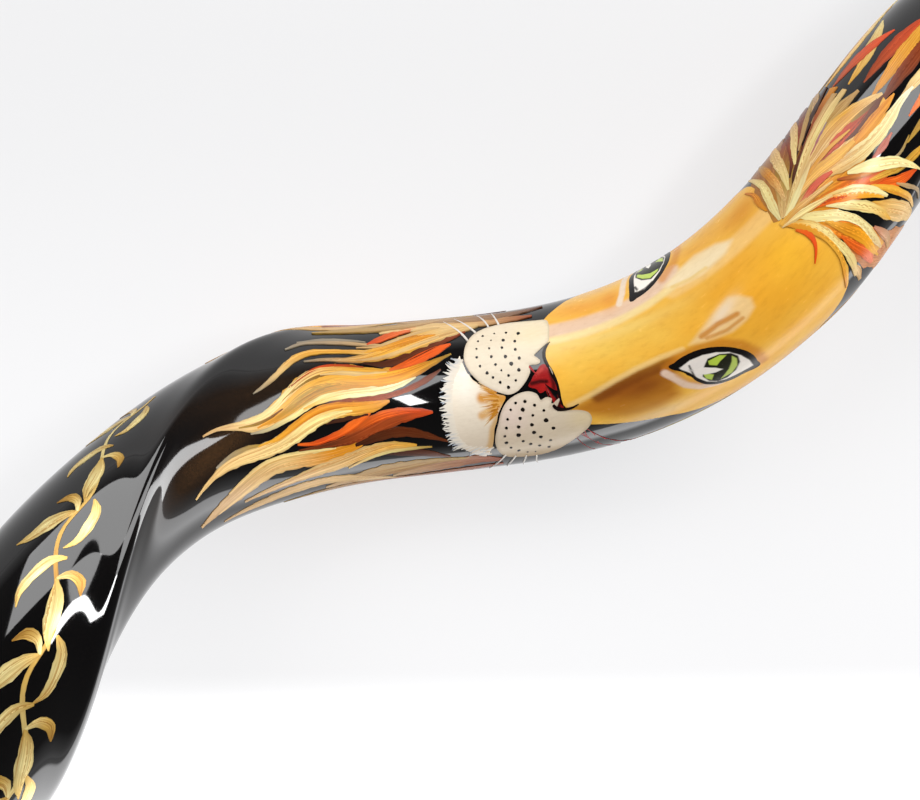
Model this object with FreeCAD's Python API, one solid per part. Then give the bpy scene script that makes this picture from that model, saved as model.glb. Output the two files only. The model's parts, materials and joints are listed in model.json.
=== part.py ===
"""Painted kudu-horn shofar.

The horn's axis winds round a straight line as a left-handed spiral that dies out towards the mouth end.
Everything is drawn first in the spiral's frame (X from bell to mouth along that straight line) and is then
laid down in the attitude in which the horn comes to rest, with +X towards the mouth end and +Z up.
The paint is described on the horn's skin: a distance along the horn in mm, and an angle round it in
degrees from the top line, which is the line that looks straight up when the horn lies at rest.
"""
import FreeCAD, Part
import math
import os

from FreeCAD import Rotation, Vector

# ---- driving dimensions, mm ----
HORN_LENGTH = 840.0          # straight distance from the bell's centre to the mouth end
SPIRAL_PITCH = 330.0         # straight distance per full turn of the spiral
SPIRAL_START_DEG = -21.6     # side of the straight line on which the bell lies
BELL_SPIRAL_RADIUS = 37.0    # how far the horn's axis runs from the straight line at the bell
SHANK_SPIRAL_RADIUS = 23.5   # the same over the middle of the horn
BELL_RADIUS = 39.5
SHANK_RADIUS = 26.8          # at the middle of the horn
TIP_RADIUS = 10.6
KEEL_HEIGHT = 6.0            # ridge that follows the spiral, highest at the bell
KEEL_HALF_WIDTH_DEG = 13.0
BELL_WALL = 3.6
SHANK_WALL = 5.4
BORE_RADIUS = 4.0
BORE_LENGTH = 96.0           # straight drilled hole between the cup and the hollow
CUP_RADIUS = 8.0
CUP_DEPTH = 9.0
COAT_THICKNESS = 0.3
BARE_TIP = 36.0              # unlacquered horn left at the mouth end
PAINT_THICKNESS = 0.15
MUZZLE_PLACE = 420.0         # middle of the painted muzzle, from the bell along the straight line

# ---- laws along the horn: (share of the length, value) ----
SPIRAL_LAW = (
    (0.0, BELL_SPIRAL_RADIUS), (0.083, BELL_SPIRAL_RADIUS), (0.18, 0.946 * BELL_SPIRAL_RADIUS),
    (0.274, 1.255 * SHANK_SPIRAL_RADIUS), (0.345, 1.034 * SHANK_SPIRAL_RADIUS), (0.405, SHANK_SPIRAL_RADIUS),
    (0.667, SHANK_SPIRAL_RADIUS), (0.762, 0.872 * SHANK_SPIRAL_RADIUS), (0.857, 0.404 * SHANK_SPIRAL_RADIUS),
    (0.929, 0.064 * SHANK_SPIRAL_RADIUS), (0.952, 0.0), (1.0, 0.0))
GIRTH_LAW = (
    (0.0, BELL_RADIUS), (0.083, 1.284 * SHANK_RADIUS), (0.18, 1.119 * SHANK_RADIUS),
    (0.268, 1.007 * SHANK_RADIUS), (0.339, 0.925 * SHANK_RADIUS), (0.417, 0.993 * SHANK_RADIUS),
    (0.512, SHANK_RADIUS), (0.619, 0.955 * SHANK_RADIUS), (0.714, 0.873 * SHANK_RADIUS),
    (0.833, 0.672 * SHANK_RADIUS), (0.929, 1.245 * TIP_RADIUS), (1.0, TIP_RADIUS))
KEEL_LAW = (
    (0.0, KEEL_HEIGHT), (0.18, 0.92 * KEEL_HEIGHT), (0.286, 0.83 * KEEL_HEIGHT), (0.357, 0.7 * KEEL_HEIGHT),
    (0.429, 0.47 * KEEL_HEIGHT), (0.524, 0.27 * KEEL_HEIGHT), (0.667, 0.13 * KEEL_HEIGHT), (0.833, 0.0), (1.0, 0.0))
OVAL_LAW = ((0.0, 0.05), (0.238, 0.05), (0.357, 0.04), (0.476, 0.0), (1.0, 0.0))
KEEL_LEAD_LAW = ((0.0, 62.0), (0.238, 60.0), (0.357, 50.0), (0.5, 45.0), (1.0, 45.0))

ROW_STEP = 7.5               # spacing of the rings that a skin is drawn through
RING_STEPS = 56
FACE_SPANS = 8               # rings crossed by each face of a long tube
FILM_GRID = 2.5              # spacing of the points that a film of paint is drawn through
UP_GUESS = Vector(0, -0.15, 0.99)


class Law:
    """Smooth curve through (place, value) pairs that never overshoots them, and is level past both ends."""

    def __init__(self, pairs, reach=1.0):
        self.x = [reach * pair[0] for pair in pairs]
        self.y = [pair[1] for pair in pairs]
        steps = [b - a for a, b in zip(self.x, self.x[1:])]
        rises = [(b - a) / step for a, b, step in zip(self.y, self.y[1:], steps)]
        self.slope = [rises[0]]
        for i in range(1, len(rises)):
            before, after = rises[i - 1], rises[i]
            if before * after <= 0:
                self.slope.append(0.0)
                continue
            near = 2 * steps[i] + steps[i - 1]
            far = steps[i] + 2 * steps[i - 1]
            self.slope.append((near + far) / (near / before + far / after))
        self.slope.append(rises[-1])

    def __call__(self, place):
        if place <= self.x[0]:
            return self.y[0]
        if place >= self.x[-1]:
            return self.y[-1]
        i = max(k for k, x in enumerate(self.x[:-1]) if x <= place)
        step = self.x[i + 1] - self.x[i]
        s = (place - self.x[i]) / step
        return ((1 + 2 * s) * (1 - s) ** 2 * self.y[i] + s * (1 - s) ** 2 * step * self.slope[i]
                + s * s * (3 - 2 * s) * self.y[i + 1] - s * s * (1 - s) * step * self.slope[i + 1])


spiral = Law(SPIRAL_LAW, HORN_LENGTH)
girth = Law(GIRTH_LAW, HORN_LENGTH)
keel = Law(KEEL_LAW, HORN_LENGTH)
oval = Law(OVAL_LAW, HORN_LENGTH)
keel_lead = Law(KEEL_LEAD_LAW, HORN_LENGTH)


def centre(x, winding=spiral):
    """Point of the horn's axis at the straight distance x from the bell."""
    phase = math.radians(SPIRAL_START_DEG - 360.0 * x / SPIRAL_PITCH)
    reach = winding(x)
    return Vector(x, reach * math.cos(phase), reach * math.sin(phase))


def section_axes(x, winding=spiral):
    """Axis direction at x, the direction away from the spiral's line, and the one square to both."""
    along = (centre(x + 0.5, winding) - centre(x - 0.5, winding)).normalize()
    phase = math.radians(SPIRAL_START_DEG - 360.0 * x / SPIRAL_PITCH)
    outward = Vector(0, math.cos(phase), math.sin(phase))
    outward = (outward - along * outward.dot(along)).normalize()
    return along, outward, along.cross(outward)


def wrap(angle):
    """The same angle between minus and plus half a turn."""
    return (angle + math.pi) % (2 * math.pi) - math.pi


def skin_point(x, angle, lift=0.0):
    """Point of the outside, angle measured from the outward direction, lift mm above the bare horn."""
    outward, across = section_axes(x)[1:]
    off_keel = wrap(angle - math.radians(keel_lead(x)))
    ridge = keel(x) / (1 + (math.degrees(off_keel) / KEEL_HALF_WIDTH_DEG) ** 2)
    radius = girth(x) * (1 + oval(x) * math.cos(2 * off_keel)) + ridge + lift
    return centre(x) + outward * (radius * math.cos(angle)) + across * (radius * math.sin(angle))


def stations(start, end):
    """Even places from start to end, about ROW_STEP apart."""
    count = max(3, round((end - start) / ROW_STEP))
    return [start + (end - start) * i / count for i in range(count + 1)]


def skin_ring(x, lift=0.0):
    """Points round the outside at x, the first one on the ridge."""
    ridge = math.radians(keel_lead(x))
    return [skin_point(x, ridge + 2 * math.pi * j / RING_STEPS, lift) for j in range(RING_STEPS)]


def spline_poles(points, closed):
    """Poles whose even cubic spline runs through the points, without the two end points if it is open."""
    inner = range(len(points)) if closed else range(1, len(points) - 1)
    count = len(points)
    return [(points[i] * 8 - points[i - 1] - points[(i + 1) % count]) * (1 / 6) for i in inner]


def tube_surface(ring_at, start, end):
    """Smooth tube through the rings from start to end, seamless all round."""
    spans = max(4, round((end - start) / ROW_STEP))
    step = (end - start) / spans
    rings = [spline_poles(ring_at(start + step * (i - 2)), True) for i in range(spans + 5)]
    columns = [spline_poles(column, False) for column in zip(*rings)]
    rows = [list(row) for row in zip(*columns)]
    degree = 3
    along = [float(k) for k in range(len(rows) + degree + 1)]
    around = [float(k) for k in range(len(rows[0]) + 1)]
    tube = Part.BSplineSurface()
    tube.buildFromPolesMultsKnots(
        rows, [1] * len(along), [1] * len(around), along, around, False, True, degree, degree)
    tube.segment(along[degree], along[degree + spans], around[0], around[-1])
    return tube


def cut_square(tube, row, point, normal):
    """Lay one end row of a tube's poles in the plane through point, so that a flat cap fits it."""
    for column in range(1, tube.NbVPoles + 1):
        pole = tube.getPole(row, column)
        tube.setPole(row, column, pole - normal * (pole - point).dot(normal))


def closed_solid(faces):
    """Solid bounded by faces that meet edge to edge, turned right side out."""
    shell = Part.makeShell(faces)
    shell.sewShape()
    solid = Part.Solid(Part.Shell(shell.Faces))
    if solid.Volume < 0:
        solid.reverse()
    return solid


def tube_faces(ring_at, start, end, winding):
    """The tube's skin as a run of short faces, ends square to its axis, and its two end edges, bell side first."""
    tube = tube_surface(ring_at, start, end)
    cut_square(tube, 1, centre(start, winding), section_axes(start, winding)[0])
    cut_square(tube, tube.NbUPoles, centre(end, winding), section_axes(end, winding)[0])
    first, last, near, far = tube.bounds()
    faces = []
    while first < last:
        stop = min(first + FACE_SPANS, last)
        stretch = tube.copy()
        stretch.segment(first, stop, near, far)
        faces.append(stretch.toShape())
        first = stop
    rings = [[edge for edge in face.Edges if edge.isClosed()] for face in (faces[0], faces[-1])]
    bell_ring = min(rings[0], key=lambda edge: edge.CenterOfMass.x)
    mouth_ring = max(rings[1], key=lambda edge: edge.CenterOfMass.x)
    return faces, (bell_ring, mouth_ring)


def tube_solid(ring_at, start, end, winding):
    sides, rings = tube_faces(ring_at, start, end, winding)
    return closed_solid(sides + [Part.Face(Part.Wire([ring])) for ring in rings])


def horn_blank():
    """The horn's outer shape as a full solid, with the bell and the mouth end cut flat."""
    return tube_solid(skin_ring, 0.0, HORN_LENGTH, spiral)


def hollow_end():
    """Place where the horn's own hollow runs out into the drilled bore."""
    return HORN_LENGTH - CUP_DEPTH - BORE_LENGTH


def natural_hollow():
    """The hollow that the horn grew with, drawn in to the straight line before the bore."""
    end = hollow_end() / HORN_LENGTH
    bend = [pair for pair in SPIRAL_LAW if pair[0] < end - 0.12]
    winding = Law(bend + [(end - 0.05, 0.33 * SHANK_SPIRAL_RADIUS), (end, 0.0), (1.0, 0.0)], HORN_LENGTH)
    wall = Law([(0.0, BELL_WALL), (0.35, SHANK_WALL), (1.0, SHANK_WALL)], HORN_LENGTH)
    taper = [(s, girth(s * HORN_LENGTH) - wall(s * HORN_LENGTH)) for s in (0.0, 0.1, 0.2, 0.3, 0.4, 0.5, 0.6, 0.7)]
    inside = Law(taper + [(end - 0.05, 2.2 * BORE_RADIUS), (end, 1.1 * BORE_RADIUS)], HORN_LENGTH)

    def ring_at(x):
        outward, across = section_axes(x, winding)[1:]
        turns = [2 * math.pi * j / RING_STEPS for j in range(RING_STEPS)]
        return [centre(x, winding) + (outward * math.cos(a) + across * math.sin(a)) * inside(x) for a in turns]

    return tube_solid(ring_at, -2 * ROW_STEP, hollow_end(), winding)


def horn_sheath():
    """The horn: blank less the hollow, the drilled bore and the cup."""
    bore_start = Vector(hollow_end() - ROW_STEP, 0, 0)
    bore = Part.makeCylinder(BORE_RADIUS, BORE_LENGTH + CUP_DEPTH + 2 * ROW_STEP, bore_start, Vector(1, 0, 0))
    slope = (CUP_RADIUS - BORE_RADIUS) / CUP_DEPTH
    spare = 1.0
    cup_floor = Vector(HORN_LENGTH - CUP_DEPTH, 0, 0)
    cup = Part.makeCone(BORE_RADIUS, CUP_RADIUS + slope * spare, CUP_DEPTH + spare, cup_floor, Vector(1, 0, 0))
    return horn_blank().cut(natural_hollow()).cut(bore).cut(cup).Solids[0]


def lacquer_coat():
    """Shell of lacquer over the outside, open at both ends."""
    end = HORN_LENGTH - BARE_TIP
    outside, big_rings = tube_faces(lambda x: skin_ring(x, COAT_THICKNESS), 0.0, end, spiral)
    inside, small_rings = tube_faces(skin_ring, 0.0, end, spiral)
    faces = outside + inside
    for big, small in zip(big_rings, small_rings):
        hole = Part.Face(Part.Wire([small]))
        faces.append(Part.Face(Part.Wire([big])).cut(hole).Faces[0])
    return closed_solid(faces)


# ---- the attitude at rest ----
def outside_points():
    coat_end = HORN_LENGTH - BARE_TIP
    points = []
    for x in stations(0.0, HORN_LENGTH):
        points += skin_ring(x, COAT_THICKNESS if x <= coat_end else 0.0)
    return points


def resting_up(points, balance):
    """Direction that points up when the horn lies still: the one that holds its balance point lowest."""
    def height(up):
        return max((balance - point).dot(up) for point in points)

    up = Vector(UP_GUESS).normalize()
    best = height(up)
    step = 0.1
    turn = 0.0
    while step > 0.0002:
        turn += 0.7
        trials = []
        for k in range(12):
            angle = turn + 2 * math.pi * k / 12
            trial = Vector(up.x + step * math.cos(angle), up.y + step * math.sin(angle), up.z).normalize()
            trials.append((height(trial), trial))
        lowest = min(trials, key=lambda pair: pair[0])
        if lowest[0] < best:
            best, up = lowest
        else:
            step *= 0.7
    return up


SHEATH = horn_sheath()
SKIN = outside_points()
UP = resting_up(SKIN, SHEATH.CenterOfMass)
ROLL_DEG = math.degrees(math.atan2(UP.y, UP.z))
TILT_DEG = -math.degrees(math.atan2(UP.x, math.hypot(UP.y, UP.z)))
LAY_DOWN = Rotation(Vector(0, 1, 0), TILT_DEG) * Rotation(Vector(1, 0, 0), ROLL_DEG)


def resting_shift():
    """Move that puts the origin under the middle of the resting horn, on the surface it lies on."""
    laid = [LAY_DOWN.multVec(point) for point in SKIN]
    low = Vector(*(min(getattr(point, axis) for point in laid) for axis in "xyz"))
    high = Vector(*(max(getattr(point, axis) for point in laid) for axis in "xyz"))
    return Vector(-(low.x + high.x) / 2, -(low.y + high.y) / 2, -low.z)


SHIFT = resting_shift()


def laid_down(shape):
    placed = shape.copy()
    placed.Placement = FreeCAD.Placement(SHIFT, LAY_DOWN)
    return placed


# ---- paint ----
def top_angle(x):
    """Angle of the top line at x, from the outward direction."""
    outward, across = section_axes(x)[1:]
    return math.atan2(across.dot(UP), outward.dot(UP))


def paint_point(x, degrees, lift):
    """Point above the coat at x, degrees round from the top line."""
    return skin_point(x, math.radians(degrees) + top_angle(x), COAT_THICKNESS + lift)


def film_face(grid, lift):
    """Smooth face over a grid of (place, degrees), lift mm above the coat."""
    skin = Part.BSplineSurface()
    skin.interpolate([[paint_point(x, degrees, lift) for x, degrees in line] for line in grid])
    return skin.toShape()


def brush_mark(marks, layer=0):
    """One closed film of paint along marks of (place, degrees, half width), on the coat or on another film."""
    places = [(MUZZLE_PLACE + mark[0], mark[1]) for mark in marks]
    travelled = [0.0]
    for (x0, a0), (x1, a1) in zip(places, places[1:]):
        travelled.append(travelled[-1] + math.hypot(x1 - x0, math.radians(a1 - a0) * girth((x0 + x1) / 2)))
    place = Law(list(zip(travelled, [p[0] for p in places])))
    degrees = Law(list(zip(travelled, [p[1] for p in places])))
    half_width = Law(list(zip(travelled, [mark[2] for mark in marks])))
    widest = max(mark[2] for mark in marks)
    rows = max(6, round(travelled[-1] / FILM_GRID))
    columns = max(2, 2 * round(widest / FILM_GRID))
    grid = []
    for i in range(rows + 1):
        s = travelled[-1] * i / rows
        x, round_it, radius = place(s), math.radians(degrees(s)), girth(place(s))
        ahead, behind = min(s + 0.2, travelled[-1]), max(s - 0.2, 0.0)
        run = place(ahead) - place(behind)
        rise = math.radians(degrees(ahead) - degrees(behind)) * radius
        length = math.hypot(run, rise)
        line = []
        for j in range(columns + 1):
            off = half_width(s) * (2.0 * j / columns - 1)
            line.append((x - off * rise / length, math.degrees(round_it + off * run / (length * radius))))
        grid.append(line)
    floor = layer * PAINT_THICKNESS
    below = film_face(grid, floor)
    above = film_face(grid, floor + PAINT_THICKNESS)
    walls = [Part.makeRuledSurface(low, high) for low, high in zip(below.Edges, above.Edges)]
    return closed_solid([below, above] + walls)


def face_paint():
    return [brush_mark([(15, -12, 11), (21, -14, 17), (27, -17, 25), (38, -21, 33), (56, -22, 39), (82, -22, 38),
                        (94, -22, 34), (101, -21, 30)])]


def muzzle_paint():
    upper = [(-12, 33, 0.5), (-8, 33, 9), (0, 31, 12.5), (8, 28, 9.5), (16, 27, 5), (21, 27, 0.5)]
    lower = [(-20, -31, 0.5), (-16, -31, 8), (-6, -31, 12.5), (4, -34, 10), (10, -41, 5.5), (13, -44, 0.5)]
    return [brush_mark(upper), brush_mark(lower)]


def chin_paint():
    return [brush_mark([(-18, 46, 0.5), (-21, 31, 5), (-22, 10, 7), (-23, -10, 5), (-22, -27, 0.5)])]


def nose_paint():
    return [brush_mark([(1, -4, 0.5), (7, -4, 3), (12, -5, 6), (14, -5, 6)])]


def eyes_paint():
    """Both eyes, mirrored about the middle of the face, over the golden field."""
    middle = -22.0
    near = [(53, 9, 0.5), (57, 15, 4.5), (62, 27, 5.5), (67, 38, 4), (70, 50, 0.5)]
    far = [(place - 4, 2 * middle - degrees, width) for place, degrees, width in near]
    return [brush_mark(near, layer=1), brush_mark(far, layer=1)]


def beard_paint():
    """Locks that wave from the chin towards the bell and spread as they go."""
    locks = []
    for k in range(9):
        start = 50 - 13.5 * k
        reach = 78 + 9 * math.sin(2.1 * k)
        lock = []
        for i in range(9):
            back = reach * i / 8
            sway = 5.5 * math.cos(2 * math.pi * (back - 24) / 47)
            width = 0.35 + 1.9 * math.sin(math.pi * min(1.0, 0.16 + 0.84 * i / 8))
            lock.append((-32 - back, start + sway + 0.14 * back, width))
        locks.append(brush_mark(lock))
    return locks


def fan(count, spread_deg, start, end, width, offset_deg=0.0):
    """Leaf-shaped marks that fan out from the parting of the forelock."""
    root_place, root_degrees = 102.0, -26.0
    leaves = []
    for k in range(count):
        heading = math.radians(offset_deg - spread_deg + 2 * spread_deg * k / (count - 1))
        leaf = []
        for share, fullness in ((0, 0.2), (0.3, 0.75), (0.6, 1.0), (0.85, 0.55), (1.0, 0.12)):
            out = start + (end - start) * share
            across = math.degrees(out * math.sin(heading) / SHANK_RADIUS)
            leaf.append((root_place + out * math.cos(heading), root_degrees + across, width * fullness))
        leaves.append(brush_mark(leaf))
    return leaves


def forelock_paint():
    return fan(9, 74.0, 6.0, 34.0, 2.8)


def mane_paint():
    return fan(10, 62.0, 40.0, 68.0, 2.4)


def whisker_paint():
    roots = [(-11, 60), (-6, 63), (-2, 64), (2, 64), (-18, -53), (-14, -60), (-9, -63), (-5, -64)]
    whiskers = []
    for place, degrees in roots:
        away = 1 if degrees > 0 else -1
        hair = [(place, degrees, 0.3), (place - 2, degrees + 7 * away, 0.3), (place - 4, degrees + 14 * away, 0.2)]
        whiskers.append(brush_mark(hair))
    return whiskers


def keel_degrees(x):
    """Where the ridge runs, in degrees from the top line."""
    return math.degrees(wrap(math.radians(keel_lead(x)) - top_angle(x)))


def gold_ornament_paint():
    """A row of curled brush marks beside the ridge, larger towards the bell."""
    marks = []
    for k in range(7):
        place = -128 - 16.5 * k
        size = 1 + 0.06 * k
        middle = keel_degrees(MUZZLE_PLACE + place) - 42
        curl = [(4, 18, 0.4), (1, 11, 1.3), (-1, 3, 1.8), (0, -5, 1.8), (2, -12, 1.3), (1, -19, 0.4)]
        marks.append(brush_mark([(place + dx * size, middle + da * size, w * size) for dx, da, w in curl]))
    return marks


def main():
    os.makedirs("parts", exist_ok=True)
    nodes = {
        "horn_sheath": [SHEATH],
        "lacquer_coat": [lacquer_coat()],
        "face_paint": face_paint(),
        "muzzle_paint": muzzle_paint(),
        "chin_paint": chin_paint(),
        "nose_paint": nose_paint(),
        "eyes_paint": eyes_paint(),
        "beard_paint": beard_paint(),
        "forelock_paint": forelock_paint(),
        "mane_paint": mane_paint(),
        "whisker_paint": whisker_paint(),
        "gold_ornament_paint": gold_ornament_paint(),
    }
    for name, solids in nodes.items():
        placed = [laid_down(solid) for solid in solids]
        shape = placed[0] if len(placed) == 1 else Part.makeCompound(placed)
        shape.exportStep("parts/%s.step" % name)
        state = "valid" if all(solid.isValid() for solid in solids) else "INVALID"
        print("%-20s %d solid(s)  %10.1f mm3  %s" % (name, len(solids), shape.Volume, state))
    print("rest: roll %.3f deg, tilt %.3f deg, shift %s" % (ROLL_DEG, TILT_DEG, SHIFT))


main()
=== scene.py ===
"""Visual model of the painted kudu-horn shofar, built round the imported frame.

Lengths along the horn are in mm from the bell, angles round it in degrees from the line that looks straight
up at rest, and lifts in mm above the lacquer. HornForm turns the three into places in the row frame, in
metres. Brush marks are written as (length along, angle, half width) and are laid on the skin as closed films.
"""
import sys
import json
import logging
import math
from dataclasses import dataclass, field
from enum import Enum
from typing import Callable, Sequence

import bpy
import numpy as np
from mathutils import Matrix, Vector


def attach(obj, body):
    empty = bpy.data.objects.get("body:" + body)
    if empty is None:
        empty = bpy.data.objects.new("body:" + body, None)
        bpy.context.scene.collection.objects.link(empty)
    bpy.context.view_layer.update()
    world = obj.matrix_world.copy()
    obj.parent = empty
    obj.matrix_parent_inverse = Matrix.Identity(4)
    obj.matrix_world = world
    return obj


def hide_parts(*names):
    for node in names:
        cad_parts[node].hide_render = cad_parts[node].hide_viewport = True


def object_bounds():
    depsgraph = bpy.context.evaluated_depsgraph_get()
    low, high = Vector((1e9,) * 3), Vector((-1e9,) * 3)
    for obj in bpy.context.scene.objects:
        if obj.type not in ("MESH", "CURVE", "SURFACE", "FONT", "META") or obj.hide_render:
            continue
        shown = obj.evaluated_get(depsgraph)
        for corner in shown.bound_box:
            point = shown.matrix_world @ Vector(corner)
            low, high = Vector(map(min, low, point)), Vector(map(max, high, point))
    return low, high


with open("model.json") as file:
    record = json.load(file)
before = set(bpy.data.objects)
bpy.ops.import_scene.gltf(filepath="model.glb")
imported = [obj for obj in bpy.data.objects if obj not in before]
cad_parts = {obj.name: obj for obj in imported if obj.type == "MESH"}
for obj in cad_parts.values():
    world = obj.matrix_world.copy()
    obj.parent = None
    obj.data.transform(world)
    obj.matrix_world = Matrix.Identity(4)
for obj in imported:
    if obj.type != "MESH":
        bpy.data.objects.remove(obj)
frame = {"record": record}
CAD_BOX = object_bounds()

LOG = logging.getLogger("shofar")
MM = 0.001
STUDIO_LEVEL = 1.3           # how much brighter than its own colour a pale surface looks in the studio light
SHARP_EDGE = math.radians(40.0)
MM_PER_DEGREE = 0.467        # distance round the middle of the horn
ALONG = 1.1                  # distance along the skin for each mm of straight length
FILM_ROOT = -0.12            # where a film's underside lies, sunk in the lacquer
BRIGHTEST = 0.92             # palest that a paint may be
# painted shade: the locks are painted darker round the far side
FAR_SIDE_PAINTED_SHADE = 0.26          # how much darker the locks get round on the far side

Colour = tuple[float, float, float]
Mark = tuple[float, float, float]
Spot = tuple[float, float]


class Slot(Enum):
    """Material slots of the record."""

    BARE_HORN = "bare_horn"
    BLACK_LACQUER = "black_lacquer"
    GOLD_PAINT = "gold_paint"
    FACE_GOLD = "face_gold"
    CREAM_PAINT = "cream_paint"
    NOSE_RED = "nose_red"
    EYE_PAINT = "eye_paint"
    LOCK_PAINT = "lock_paint"
    WHITE_PAINT = "white_paint"


# ---------------------------------------------------------------- colours and curves


def shade(red: float, green: float, blue: float) -> Colour:
    """Linear paint colour that looks like the given 0-255 colour in the studio light.

    Args:
        red: Red as seen, 0 to 255.
        green: Green as seen.
        blue: Blue as seen.

    Returns:
        The linear colour of the paint itself.
    """
    seen = [value / 255.0 for value in (red, green, blue)]
    linear = [v / 12.92 if v <= 0.04045 else ((v + 0.055) / 1.055) ** 2.4 for v in seen]
    return tuple(min(0.9, value / STUDIO_LEVEL) for value in linear)


def smooth(low: float, high: float, value: np.ndarray) -> np.ndarray:
    """Smooth step from 0 at low to 1 at high."""
    share = np.clip((value - low) / (high - low), 0.0, 1.0)
    return share * share * (3 - 2 * share)


@dataclass(frozen=True)
class Law:
    """Smooth curve through (place, value) pairs that never overshoots them, and is level past both ends."""

    pairs: tuple[tuple[float, float], ...]
    reach: float = 1.0

    def slopes(self) -> tuple[np.ndarray, np.ndarray, np.ndarray]:
        """Places, values and the slope at each place.

        Returns:
            Three arrays.
        """
        x = np.array([pair[0] for pair in self.pairs]) * self.reach
        y = np.array([pair[1] for pair in self.pairs])
        steps = np.diff(x)
        rises = np.diff(y) / steps
        slope = [rises[0]]
        for i in range(1, len(rises)):
            before, after = rises[i - 1], rises[i]
            if before * after <= 0:
                slope.append(0.0)
                continue
            near = 2 * steps[i] + steps[i - 1]
            far = steps[i] + 2 * steps[i - 1]
            slope.append((near + far) / (near / before + far / after))
        slope.append(rises[-1])
        return x, y, np.array(slope)

    def __call__(self, place: np.ndarray) -> np.ndarray:
        """Values at the places."""
        x, y, slope = self.slopes()
        return hermite(x, y, slope, np.clip(place, x[0], x[-1]))


def hermite(x: np.ndarray, y: np.ndarray, slope: np.ndarray, place: np.ndarray) -> np.ndarray:
    """Cubic through knots with given slopes.

    Args:
        x: Knots, rising.
        y: Values at the knots.
        slope: Slopes at the knots.
        place: Where to read the curve, within the knots.

    Returns:
        The values there.
    """
    i = np.clip(np.searchsorted(x, place, side="right") - 1, 0, len(x) - 2)
    step = x[i + 1] - x[i]
    s = (place - x[i]) / step
    return ((1 + 2 * s) * (1 - s) ** 2 * y[i] + s * (1 - s) ** 2 * step * slope[i]
            + s * s * (3 - 2 * s) * y[i + 1] - s * s * (1 - s) * step * slope[i + 1])


def flowing(knots: np.ndarray, values: np.ndarray, place: np.ndarray) -> np.ndarray:
    """Flowing curve through values at knots, as a brush would join them.

    Args:
        knots: Distances, rising.
        values: Values at them.
        place: Where to read the curve.

    Returns:
        The values there.
    """
    slope = np.gradient(values, knots)
    return hermite(knots, values, slope, np.clip(place, knots[0], knots[-1]))


def along_colours(colours: Sequence[Colour], share: np.ndarray) -> np.ndarray:
    """Colours blended evenly along a share from 0 to 1, as an (n, 3) array.

    Args:
        colours: The colours, evenly spaced.
        share: Where between 0 and 1.

    Returns:
        The colours, (n, 3).
    """
    table = np.array(colours)
    if len(table) == 1:
        return np.repeat(table, len(share), axis=0)
    at = np.linspace(0, 1, len(table))
    return np.stack([np.interp(share, at, table[:, k]) for k in range(3)], -1)


# ---------------------------------------------------------------- the horn's shape


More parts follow.
